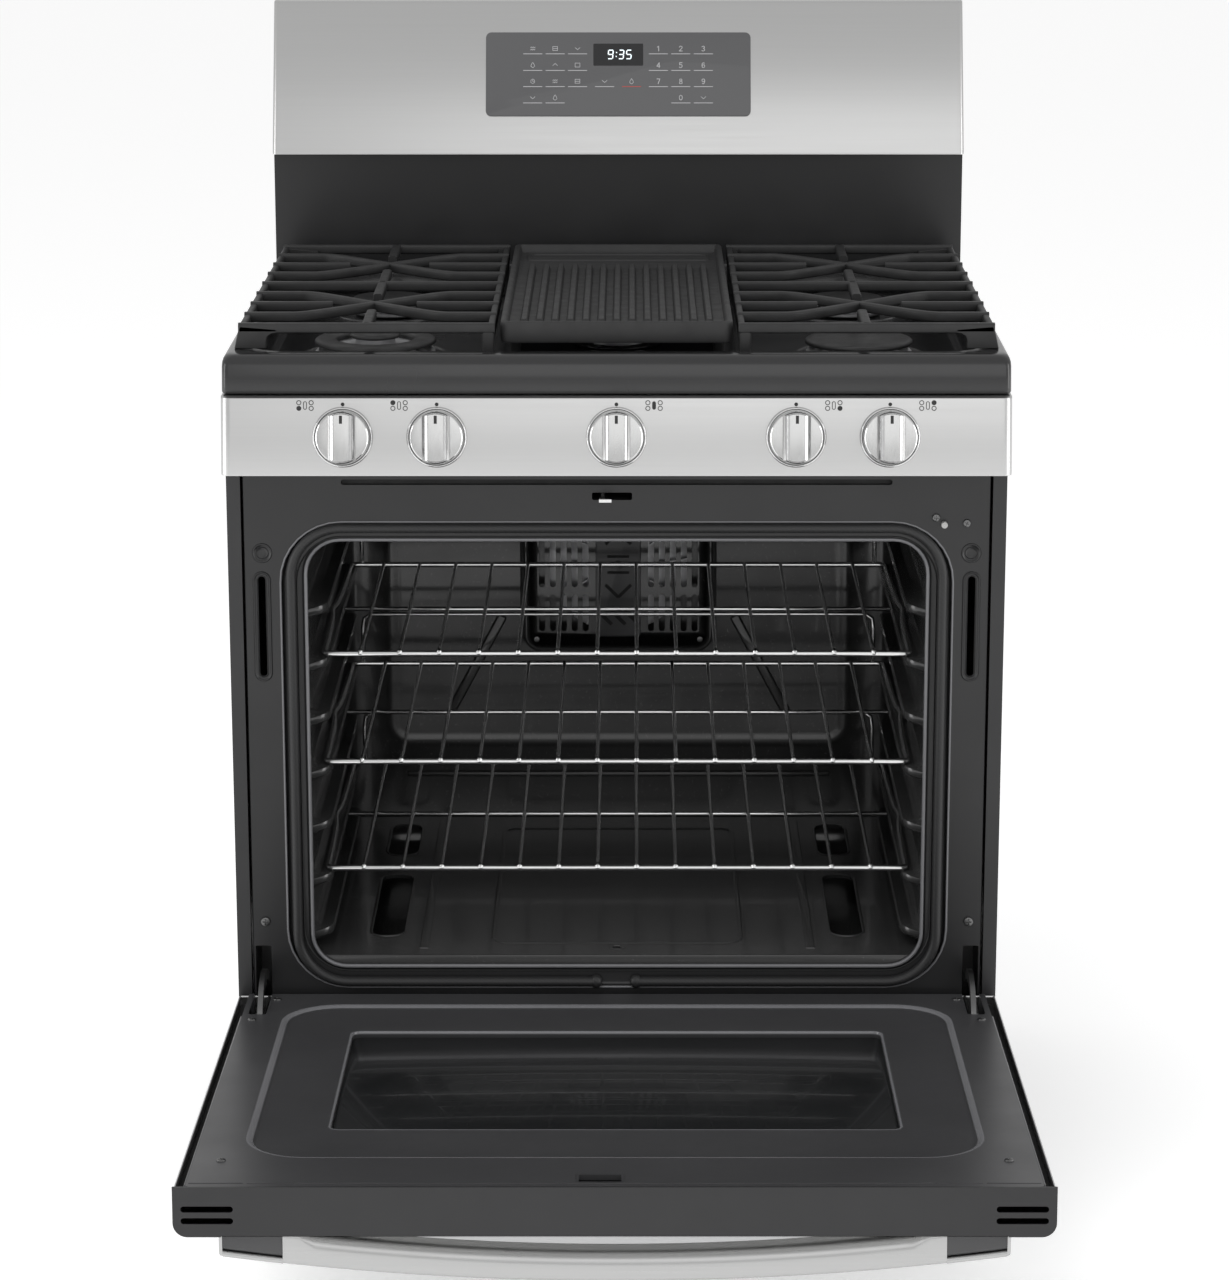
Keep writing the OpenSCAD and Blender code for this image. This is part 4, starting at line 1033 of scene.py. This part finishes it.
def panel_marks():
    """Off marks and burner diagrams beside each knob."""
    s = Shape()
    icon_y = 30.4
    centre_mark = 4
    layout = [(-5.9, -2.7), (5.9, -2.7), (-5.9, 2.7), (5.9, 2.7)]

    def mark(outer, holes=()):
        s.plate(outer, holes, 0.06, 0.12, flat)

    for i, (x, filled) in enumerate(zip(KNOB_XS, (0, 2, centre_mark, 1, 3))):
        mark(circle(x, 31.5, 1.8, 20))
        cx = x + (-36 if i < 2 else 36)
        for k, (dx, dy) in enumerate(layout):
            mark(circle(cx + dx, icon_y + dy, 2.4, 20),
                 [] if filled == k else [circle(cx + dx, icon_y + dy, 1.65, 20)])
        mark(rr(1.8, 4.0, 1.75, cx, icon_y, 5),
             [] if filled == centre_mark else [rr(1.1, 3.3, 1.05, cx, icon_y, 5)])
        if filled != centre_mark:
            mark(span(x - 9, x + 9, -34.4, -33.6, 0.3, 2))
    make(s, "panel_print", "range_body", panel_frame(0), [INK_BLACK], [])


def knob(i):
    """Round base with a straight grip bar, drawn with Z out of the panel."""
    s = Shape()
    s.lathe([(4.5, 3.6), (24.6, 3.5), (25.4, 4.2), (25.5, 5.2), (25.5, 11.4), (25.1, 12.6),
             (24.3, 13.2)], n=72, last=False)
    s.paint = 1
    s.lathe([(24.3, 13.2), (23.4, 13.35), (12, 13.5), (0.5, 13.5)], n=72, first=False)
    # grip bar: its ends follow the round base, its long edges are chamfered
    def loop(w, reach, z):
        points = []
        n = 10
        for side in (1, -1):
            for k in range(n + 1):
                x = side * w * (1 - 2 * k / n)
                edge = math.sqrt(max(reach * reach - x * x, 0))
                points.append((x, side * edge, z))
        return points

    s.paint = 0
    s.rings([loop(13.4, 24.9, 12.8), loop(13.2, 24.9, 22.4)], False, False)
    s.paint = 2
    s.rings([loop(13.2, 24.9, 22.4), loop(12.9, 24.7, 23.2), loop(10.7, 23.8, 26.0),
             loop(10.3, 23.5, 26.2), loop(10.0, 23.3, 25.9), loop(9.6, 23.1, 26.1),
             loop(7.9, 22.6, 27.6), loop(7.4, 22.4, 27.8)], False, False)
    s.paint = 1
    s.rings([loop(7.4, 22.4, 27.8), loop(7.1, 22.1, 27.85)], False, True)
    s.paint = 3
    s.slab((-1.5, 13.6, 27.6), (1.5, 21.4, 27.97), 0.15)
    make(s, f"control_knob_{i + 1}", f"knob_{i + 1}", panel_frame(KNOB_XS[i]),
         [STEEL_EDGE, STEEL_KNOB, STEEL_EDGE, INK_BLACK], [f"knob_{i + 1}"],
         sharp=24)


# ------------------------------------------------------------------ backguard
def backguard_head():
    """Steel head with its sloping face, rounded back at both ends."""
    s = Shape()
    (y0, z0), (y1, z1) = HEAD_LOW, HEAD_HIGH
    back_y = 635
    tx, tz = math.sin(HEAD_LEAN), math.cos(HEAD_LEAN)

    def section(back):
        f = 3.0
        return [(back_y, z0), (y0 + f + back, z0), (y0 + back + 0.9, z0 + 0.5),
                (y0 + back + f * tx, z0 + f * tz), (y1 + back - f * tx, z1 - f * tz),
                (y1 + back + 0.6, z1 - 1.0), (y1 + back + 2.4, z1), (back_y - 1.2, z1),
                (back_y, z1 - 1.2), (back_y, z0)]

    s.rings(rolled_ends(section, WIDE, 5.0, 4, 5.0), False, False, False)
    for sx in SIDES:
        s.add([(sx * WIDE, y, z) for y, z in
               ((back_y, z0), (y0 + 8, z0), (y1 + 7, z1), (back_y, z1))], [(0, 1, 2, 3)])
    make(s, "backguard_steel", "range_body", BODY, [STEEL], ["backguard_head"],
         sharp=50)


# strokes of each digit in a box 0..1 by 0..1.6
DIGITS = {
    "0": [[(0.5, 0), (0.12, 0.25), (0, 0.8), (0.12, 1.35), (0.5, 1.6), (0.88, 1.35), (1, 0.8),
           (0.88, 0.25), (0.5, 0)]],
    "1": [[(0.15, 1.25), (0.6, 1.6), (0.6, 0)]],
    "2": [[(0.05, 1.25), (0.2, 1.5), (0.5, 1.6), (0.85, 1.5), (0.95, 1.2), (0.8, 0.85),
           (0, 0), (1, 0)]],
    "3": [[(0.05, 1.4), (0.45, 1.6), (0.85, 1.45), (0.9, 1.1), (0.5, 0.86), (0.92, 0.6),
           (0.95, 0.3), (0.6, 0.02), (0.3, 0), (0.02, 0.2)]],
    "4": [[(0.75, 0), (0.75, 1.6), (0, 0.45), (1, 0.45)]],
    "5": [[(0.92, 1.6), (0.15, 1.6), (0.1, 0.9), (0.5, 1.0), (0.9, 0.8), (0.97, 0.45),
           (0.75, 0.08), (0.35, 0), (0.02, 0.18)]],
    "6": [[(0.85, 1.45), (0.5, 1.6), (0.15, 1.3), (0.02, 0.6), (0.2, 0.1), (0.5, 0),
           (0.9, 0.18), (0.97, 0.5), (0.8, 0.85), (0.45, 0.92), (0.06, 0.6)]],
    "7": [[(0.02, 1.6), (1, 1.6), (0.4, 0)]],
    "8": [[(0.5, 0.86), (0.12, 1.1), (0.15, 1.45), (0.5, 1.6), (0.85, 1.45), (0.88, 1.1),
           (0.5, 0.86), (0.04, 0.55), (0.08, 0.15), (0.5, 0), (0.92, 0.15), (0.96, 0.55),
           (0.5, 0.86)]],
    "9": [[(0.15, 0.15), (0.5, 0), (0.85, 0.3), (0.98, 1.0), (0.8, 1.5), (0.5, 1.6),
           (0.1, 1.42), (0.03, 1.1), (0.2, 0.75), (0.55, 0.68), (0.94, 1.0)]],
}

# generic marks, made of lines only
ICONS = [
    [[(0, 0.3), (0.2, 0.6), (0.4, 0.3), (0.6, 0.6), (0.8, 0.3), (1.0, 0.6)],
     [(0, 0.9), (0.2, 1.2), (0.4, 0.9), (0.6, 1.2), (0.8, 0.9), (1.0, 1.2)]],
    [[(0, 0.2), (1, 0.2), (1, 1.3), (0, 1.3), (0, 0.2)]],
    [[(0.5, 0), (0.1, 0.4), (0.2, 0.9), (0.5, 1.5), (0.8, 0.9), (0.9, 0.4), (0.5, 0)]],
    [[(0, 0.2), (1, 0.2), (1, 1.3), (0, 1.3), (0, 0.2)], [(0, 0.75), (1, 0.75)]],
    [[(0.5, 0.1), (0.1, 0.4), (0.1, 1.0), (0.5, 1.4), (0.9, 1.0), (0.9, 0.4), (0.5, 0.1)],
     [(0.5, 1.1), (0.5, 0.75), (0.75, 0.6)]],
    [[(0, 0.6), (0.5, 1.2), (1, 0.6)]],
    [[(0, 1.0), (0.5, 0.4), (1, 1.0)]],
]


def stroke(s, path, w, z, h=0.05):
    """Flat pen line of that width; Z is out of the face."""
    for (x0, y0), (x1, y1) in zip(path, path[1:]):
        d = Vector((x1 - x0, y1 - y0))
        if d.length < 1e-6:
            continue
        d.normalize()
        e, side = d * w * 0.35, Vector((-d.y, d.x)) * (w / 2)
        a, b = Vector((x0, y0)) - e, Vector((x1, y1)) + e
        loop = [a - side, b - side, b + side, a + side]
        s.rings([[(p.x, p.y, z) for p in loop], [(p.x, p.y, z + h) for p in loop]], True, True)


def touch_panel():
    """Glass panel with generic marks, digits and a clock."""
    s = Shape()
    hx, hy, r = 145.5, 47, 6
    s.rings([flat(rr(hx + g, hy + g, r + g, 0, 0, 6), z) for g, z in
             ((-0.3, 0.02), (0, 0.4), (0, 1.4), (-0.25, 1.85), (-0.8, 2.0))], True, True)
    s.slab((-138.5, -40.5, -4), (138.5, 40.5, 0.2), 0.8)
    s.paint = 1
    s.rings([flat(rr(27.4 + g, 12.4 + g, 1.2, 0, 21.8, 3), z) for g, z in
             ((0, 1.98), (0, 2.06))], False, True)
    make(s, "touch_panel_glass", "range_body", HEAD, [TOUCH, DISPLAY], ["touch_panel"])
    face = 2.02
    ink = Shape()
    columns = (-94, -69.4, -44.8, -15, 14.6, 44.1, 68.7, 93.5)
    rows = (24.7, 6.1, -12.05, -30.3)
    for c, x in enumerate(columns):
        for k, y in enumerate(rows):
            if (c in (3, 4) and k != 2) or (c in (2, 5) and k == 3):
                continue
            ink.paint = 1 if (c == 4 and k == 2) else 0
            stroke(ink, [(x - 10.2, y - 2), (x + 10.2, y - 2)], 0.7, face)
            ink.paint = 0
            if c >= 5 and not (k == 3 and c != 6):
                sign = DIGITS["0" if k == 3 else str(k * 3 + c - 4)]
                dx, dy, wide, high, pen = -1.7, 1.2, 3.4, 3.4, 0.75
            else:
                sign = ICONS[(c * 3 + k * 2) % len(ICONS)]
                dx, dy, wide, high, pen = -2.6, 1.0, 5.2, 4.0, 0.5
            for path in sign:
                stroke(ink, [(x + dx + wide * px, y + dy + high * py) for px, py in path],
                       pen, face)
    # seven-segment clock
    ink.paint = 2
    segments = {"9": "abcdfg", "3": "abcdg", "5": "acdfg"}
    h, w, thick, foot, lean = 9.6, 5.2, 1.15, 17.2, 0.09
    places = {"a": ((0, h), (w, h)), "b": ((w, h), (w, h / 2)), "c": ((w, h / 2), (w, 0)),
              "d": ((0, 0), (w, 0)), "f": ((0, h / 2), (0, h)), "g": ((0, h / 2), (w, h / 2))}
    for x, ch in ((-11.5, "9"), (0.2, "3"), (8.6, "5")):
        for key in segments[ch]:
            (ax, ay), (bx, by) = places[key]
            d = Vector((bx - ax, by - ay)).normalized() * 0.8
            a = (x + ax + d.x + lean * (ay + d.y), foot + ay + d.y)
            b = (x + bx - d.x + lean * (by - d.y), foot + by - d.y)
            stroke(ink, [a, b], thick, 2.08)
    for dy in (2.6, 7.0):
        ink.slab((-3.1 + lean * dy, foot + dy - 0.6, 2.07),
                 (-1.9 + lean * dy, foot + dy + 0.6, 2.13), 0.02)
    make(ink, "touch_panel_print", "range_body", HEAD, [INK_GREY, INK_RED, DIGIT], [])


# ------------------------------------------------------------------ door, drawn closed
DOOR_HALF, DOOR_LOW, DOOR_HIGH = 379, -22, 547
OUTER, INNER = -24, 21
SIDE_R, LOW_R = 12.7, 10
SHEET = 1.2
EMBOSS = (327, 225.5, 55, 0, 245.5)
WINDOW_HOLE = (256, 144.5, 8, 0, 241.5)
LATCH_SLOT = (18.6, 8.6, 1.5, -12.7, 524)


def door_loop(y, inset=0.0):
    """Outline of the door's skin at one depth, inside its rounded outer edges."""
    def fall(r):
        r = r - inset
        depth = y - (OUTER + inset)
        return 0 if depth >= r else r - math.sqrt(max(r * r - (r - depth) ** 2, 0))

    side, low = inset + fall(SIDE_R), inset + fall(LOW_R)
    loop = []
    x, z0, z1 = DOOR_HALF - side, DOOR_LOW + low, DOOR_HIGH - 2 - inset
    for cx, cz, a0, r in ((x, z0, -90, 2.5), (x, z1, 0, 0.6), (-x, z1, 90, 0.6),
                          (-x, z0, 180, 2.5)):
        mx, mz = cx - math.copysign(r, cx), cz + (r if cz == z0 else -r)
        for k in range(5):
            a = math.radians(a0 + 22.5 * k)
            loop.append((mx + r * math.cos(a), y, mz + r * math.sin(a)))
    return loop


def door_skin():
    """Outer sheet with rounded edges, open along the top."""
    s = Shape()
    depths = [OUTER, OUTER + 0.15, OUTER + 0.6, OUTER + 1.4, OUTER + 2.6, OUTER + 4.2,
              OUTER + 6.2, OUTER + 8.6, OUTER + 10.8, OUTER + 12.7, 14]
    face = [(x, z) for x, _, z in door_loop(OUTER)]
    hole = rr(262, 145, 12, 0, 255, 5)
    s.plate(face, [hole], OUTER, OUTER, upright)
    def open_top(loop):
        return loop[10:] + loop[:10]

    s.rings([open_top(door_loop(y)) for y in depths], closed=False)
    # turned edge that closes on the liner, and the inside of the sheet
    edge = []
    for y, reach in ((14, 0), (16.2, 0), (17.2, 0.3), (17.8, 0.9), (17.8, 1.6), (17.2, 2.1),
                     (16.0, 2.2), (13.5, SHEET)):
        half, low = DOOR_HALF - reach, DOOR_LOW + reach
        edge.append([(math.copysign(max(half - (DOOR_HALF - abs(x)), 0), x), y,
                      max(z, low) if z < 0 else z) for x, _, z in door_loop(14)])
    s.rings([open_top(loop) for loop in edge], closed=False)
    s.rings([open_top(door_loop(y, SHEET)) for y in (13.5, -10, OUTER + 6, OUTER + SHEET)],
            closed=False)
    inner = [(x, z) for x, _, z in door_loop(OUTER + SHEET, SHEET)]
    s.plate(inner, [hole], OUTER + SHEET, OUTER + SHEET, upright)
    s.rings([upright(hole, OUTER), upright(hole, OUTER + SHEET)])
    # near-black strips inside both side edges of the door: painted shade in the gap
    s.paint = 1
    for sx in SIDES:
        x0, x1 = sorted((sx * 368.4, sx * 377.4))
        s.slab((x0, 8, -19), (x1, 9, 543), 0.2)
    make(s, "door_outer_skin", "oven_door", DOOR, [STEEL, SHADE_BLACK], ["door_skin"],
         sharp=40)


def liner_outline(half=368, low=-16, high=545):
    """Outline of the liner with the two notches for the hinge arms."""
    return [(half, low), (half, high - 3), (half - 0.9, high - 0.9), (half - 3, high),
            (-half + 3, high), (-half + 0.9, high - 0.9), (-half, high - 3), (-half, low),
            (-362.5, low), (-362.5, 50), (-360.5, 52), (-347, 52), (-345, 50), (-345, low),
            (345, low), (345, 50), (347, 52), (360.5, 52), (362.5, 50), (362.5, low)]


def door_liner():
    """Inner sheet with its embossed field, window opening and latch slot."""
    s = Shape()
    face = INNER
    holes = [rr(*EMBOSS, 8), rr(*LATCH_SLOT, 3)]
    s.plate(liner_outline(), holes, face - 1, face, upright)
    # rolled step down to the field around the window; its strips of lighter enamel, and those
    # round the window opening, are a painted highlight
    s.paint = 1
    s.rings(grown(EMBOSS, ((1.0, face + 0.02), (-0.8, face + 0.05), (-3.2, face - 0.85),
                           (-4.8, face - 2.05))))
    s.rings(grown(WINDOW_HOLE, ((2.2, face - 3.42), (0.4, face - 3.4), (-0.1, face - 4.0),
                                (-0.1, face - 6))))
    s.paint = 0
    s.rings(grown(EMBOSS, ((1.0, face - 0.4), (0.4, face), (-1.4, face - 0.25),
                           (-3.2, face - 1.0), (-4.8, face - 2.2), (-6.4, face - 3.1),
                           (-8.0, face - 3.5)))
            + grown(WINDOW_HOLE, ((4, face - 3.5), (0.8, face - 3.5), (0.1, face - 3.8),
                                  (0, face - 4.6), (0, face - 11), (0.6, face - 12),
                                  (2.5, face - 12.4))))
    # rim of the latch slot
    hx, hz, r, cx, cz = LATCH_SLOT
    s.rings([upright(rr(hx + w, hz + w, r + w, cx, cz, 4), y) for w, y in
             ((2.6, face), (1.8, face), (0.6, face - 0.5), (0, face - 1.2), (0, face - 5))])
    # rolled edges at the sides, turned edge at the bottom
    for sx in SIDES:
        x0, x1 = sorted((sx * 366.6, sx * 369.8))
        s.slab((x0, 3, 56), (x1, face - 0.05, 541), 1.5, 3)
    for x0, x1 in ((-368, -362.5), (-345, 345), (362.5, 368)):
        s.slab((x0, -10, -16), (x1, face - 0.3, -15), 0.4)
    make(s, "door_inner_liner", "oven_door", DOOR, [ENAMEL_LINER, ENAMEL_HIGHLIGHT],
         ["door_liner"], sharp=40)
    # seam of the separate top strip: a thin raised edge, broken at its tabs
    t = Shape()
    for x0, x1 in ((-366, -319), (-316, -275), (-272, -240), (-237, -49), (-46, 46), (49, 237),
                   (240, 272), (275, 316), (319, 366)):
        t.slab((x0, face - 0.6, 536.2), (x1, face + 0.4, 537.4), 0.4)
    make(t, "door_liner_seam", "oven_door", DOOR, [FAN_BARS], [])
    d = Shape()
    d.slab((-36, face - 34, 508), (11, face - 33, 538), 0.2)
    make(d, "door_latch_shadow", "oven_door", DOOR, [SHADE_BLACK], [])


def door_window():
    """The two inner panes, held apart behind the liner's opening."""
    s = Shape()
    s.slab((-262, 7.5, 92), (262, 11.4, 391), 0.6)
    s.slab((-262, 2, 92), (262, 5.8, 391), 0.6)
    make(s, "door_window_panes", "oven_door", DOOR, [WINDOW], ["door_window"])


def door_screws():
    """Screws of the liner and of the handle."""
    s = Shape()
    inward = Matrix.Rotation(-math.pi / 2, 4, "X")          # local Z to +Y
    for sx in SIDES:
        for x, z in ((344, 479), (357, 70), (338, 3)):
            s.screw((sx * x, INNER, z), 4.2, 1.6, inward, 0.4 * sx)
        s.screw((sx * 314, OUTER + SHEET + 0.2, 520), 5, 4.0, inward)
    make(s, "door_screw_heads", "oven_door", DOOR, [DARK_SCREW], ["door_screws"])


def bow(half, middle, end, x):
    """Depth of an arc through its middle and its two ends."""
    rise = end - middle
    r = (half * half + rise * rise) / (2 * rise)
    return middle + r - math.sqrt(r * r - x * x)


GRIP, HANDLE, H_LOW, H_HIGH = 286, 341, 504, 536


def handle_section(x, front, back, trim=0.0, soft=False):
    """Section of the handle at x between two depths, rounder on the side of the door."""
    r = min(4.5, (back - front) / 2 - 0.2)
    far = min(12.5, (back - front) - r - 0.2) if soft else r
    points = []
    for k, (y, z, q) in enumerate(((back, H_LOW + trim, far), (back, H_HIGH - trim, far),
                                   (front, H_HIGH - trim, r), (front, H_LOW + trim, r))):
        my = y - q if y == back else y + q
        mz = z + q if k in (0, 3) else z - q
        for i in range(7):
            a = math.radians(-90 + 90 * k + 15 * i)
            points.append((x, my + q * math.cos(a), mz + q * math.sin(a)))
    return points


def door_handle():
    """Bowed bar over the width of the door, and a bracket inside each end."""
    s, b = Shape(), Shape()

    def outer(x):
        return bow(HANDLE, OUTER - 45, OUTER - 22, min(abs(x), HANDLE))

    def inner(x):
        return bow(GRIP, OUTER - 18, OUTER + 0.001, min(abs(x), GRIP))

    # one end: a closed edge, then a hollow as far as the grip that the bracket fills
    steps, edge, wall = 40, HANDLE - 3, 6
    end = [handle_section(-HANDLE, outer(HANDLE) + 1.0, OUTER - 0.3, 1.0),
           handle_section(-HANDLE + 0.4, outer(HANDLE) + 0.3, OUTER, 0.3),
           handle_section(-HANDLE + 1.2, outer(HANDLE - 1.2), OUTER),
           handle_section(-edge, outer(edge), OUTER),
           handle_section(-edge + 0.02, outer(edge), outer(edge) + wall)]
    for k in range(5):
        x = edge - (edge - GRIP - 0.1) * k / 4
        end.append(handle_section(-x, outer(x), outer(x) + wall))
    end.append(handle_section(-GRIP, outer(GRIP), OUTER))
    loops = list(end)
    for k in range(1, steps):
        x = -GRIP + 2 * GRIP * k / steps
        loops.append(handle_section(x, outer(x), inner(x), 0, abs(x) < 262))
    loops += [[(-x, y, z) for x, y, z in loop] for loop in reversed(end)]
    s.rings(loops, True, True)
    make(s, "door_handle_bar", "oven_door", DOOR, [STEEL_HANDLE], ["door_handle"],
         sharp=35)
    for sx in SIDES:
        section = []
        for x in (286.4, 299, 312, 325, 337.6):
            front = outer(x) + 6.3
            section.append([(sx * x, y, z) for _, y, z in handle_section(x, front, OUTER, 0.4)])
        b.rings(section, True, True)
    make(b, "handle_end_brackets", "oven_door", DOOR, [BRACKET], ["handle_brackets"],
         sharp=35)


# ------------------------------------------------------------------ drawer
def drawer_front():
    """Steel face with turned edges."""
    s = Shape()
    half, low, high, front, back = 377, 41, 219, -52, -7

    def open_plan(inset):
        r = SIDE_R - inset
        points = [(-half + inset, back)]
        for k in range(9):
            a = math.radians(180 + 90 * k / 8)
            points.append((-half + SIDE_R + r * math.cos(a), front + SIDE_R + r * math.sin(a)))
        points += [(-x, y) for x, y in reversed(points)]
        return points

    s.rings([flat(open_plan(i), z) for i, z in
             ((1.6, low), (0.7, low + 0.2), (0.15, low + 0.8), (0, low + 1.7),
              (0, high - 1.7), (0.15, high - 0.8), (0.7, high - 0.2), (1.6, high))],
            closed=False)
    s.rings([flat(open_plan(SHEET), z) for z in (low + SHEET, high - SHEET)], closed=False)
    for z, inset in ((low, 1.6), (high, 1.6), (low + SHEET, SHEET), (high - SHEET, SHEET)):
        s.plate(open_plan(inset), [], z, z, flat)
    make(s, "drawer_face", "storage_drawer", BODY, [STEEL], ["drawer_front"],
         sharp=40)


# ------------------------------------------------------------------ parts kept from the CAD
KEPT = [
    (ENAMEL_SIDE, 0.6, ["side_panel_left", "side_panel_right"]),
    (ENAMEL, 0.5, ["backguard_riser"]),
    (ZINC, 0.3, ["rear_panel", "base_chassis", "drawer_box"]),
    (DULL, 0.4, ["fan_motor", "broil_burner"]),
    # the bake burner takes this dark steel so that it shows as black through the floor slots:
    # painted shade
    (DARK_SCREW, 0.3, ["hinge_arms", "hinge_receivers", "bake_burner"]),
    (WOOL, 0.0, ["oven_insulation"]),
    (LAMP, 0.0, ["oven_lamp"]),
    (BRIGHT, 0.3, ["temp_probe", "lock_hook"]),
    (PIPE, 0.4, ["gas_manifold", "gas_regulator"]),
    (BOARD, 0.2, ["control_board"]),
    (OXIDE, 0.5, ["lock_motor", "levelling_legs"]),
    (DARK_GLASS, 0.4, ["door_outer_glass"]),
    (TRIM, 0.4, ["door_vent_trim"]),
    (BRASS, 0.2, [f"spindle_{i}" for i in range(1, 6)]),
    (SWITCH, 0.3, ["door_switch"]),
]


def kept_parts():
    """Materials and small edges for the parts that stay as they are in the CAD model."""
    for material, edge, names in KEPT:
        for name in names:
            obj = frame["nodes"][name]
            obj.data.materials.clear()
            obj.data.materials.append(material)
            if edge:
                soften(obj, edge)


# ------------------------------------------------------------------ studio
def floor():
    """Wide pale floor."""
    mesh = bpy.data.meshes.new("floor")
    half = 60
    mesh.from_pydata([(-half, -half, 0), (half, -half, 0), (half, half, 0), (-half, half, 0)], [],
                     [(0, 1, 2, 3)])
    material = bpy.data.materials.new("pale_floor")
    material.use_nodes = True
    shader = material.node_tree.nodes["Principled BSDF"]
    shader.inputs["Base Color"].default_value = (0.94, 0.94, 0.94, 1)
    shader.inputs["Emission Color"].default_value = (1, 1, 1, 1)
    shader.inputs["Emission Strength"].default_value = 0.3
    shader.inputs["Roughness"].default_value = 0.9
    mesh.materials.append(material)
    obj = bpy.data.objects.new("floor", mesh)
    bpy.context.scene.collection.objects.link(obj)


def soft_light(name, place, target, size, power, glossy=True):
    """Rectangular lamp that faces a point."""
    lamp = bpy.data.lights.new(name, "AREA")
    lamp.shape = "RECTANGLE"
    lamp.size, lamp.size_y = size
    lamp.energy = power
    obj = bpy.data.objects.new(name, lamp)
    obj.location = place
    obj.visible_glossy = glossy
    obj.rotation_euler = (Vector(target) - Vector(place)).to_track_quat("-Z", "Y").to_euler()
    bpy.context.scene.collection.objects.link(obj)


def studio():
    """White surroundings, four lamps and the camera."""
    scene = bpy.context.scene
    world = bpy.data.worlds.new("studio")
    world.use_nodes = True
    background = world.node_tree.nodes["Background"]
    background.inputs["Color"].default_value = (1, 1, 1, 1)
    background.inputs["Strength"].default_value = 0.68
    scene.world = world
    soft_light("key", (-1.2, -1.9, 4.6), (0, 0, 0.7), (3.0, 3.0), 80, False)
    soft_light("front", (1.0, -6.0, 3.0), (0, 0, 0.9), (5.5, 3.2), 42)
    for side in SIDES:
        soft_light("side", (side * 3.2, -0.9, 1.1), (0, 0, 0.8), (1.2, 2.4), 26)
    camera = bpy.data.cameras.new("camera")
    camera.lens, camera.sensor_width = 107.1, 36
    camera.shift_x, camera.shift_y = -0.0126, -0.06
    camera.clip_end = 200
    obj = bpy.data.objects.new("camera", camera)
    obj.location = (0.01358, FRONT - 3.6150, 1.5784)
    obj.rotation_euler = (math.radians(90 - 13.51), 0, 0)
    scene.collection.objects.link(obj)
    scene.camera = obj
    scene.view_settings.view_transform = "Standard"


studio()
floor()
front_frame()
frame_screws()
oven_liner()
oven_floor()
fan_cover()
fan_wheel()
door_gasket()
for rack_name, rack_place in (("rack_bottom", 1), ("rack_middle", 3), ("rack_top", 5)):
    rack(rack_name, rack_level(rack_place))
cooktop()
burners()
side_grate("grate_left", -1)
side_grate("grate_right", 1)
griddle()
control_panel()
panel_marks()
for knob_index in range(5):
    knob(knob_index)
backguard_head()
touch_panel()
door_skin()
door_liner()
door_window()
door_screws()
door_handle()
drawer_front()
kept_parts()
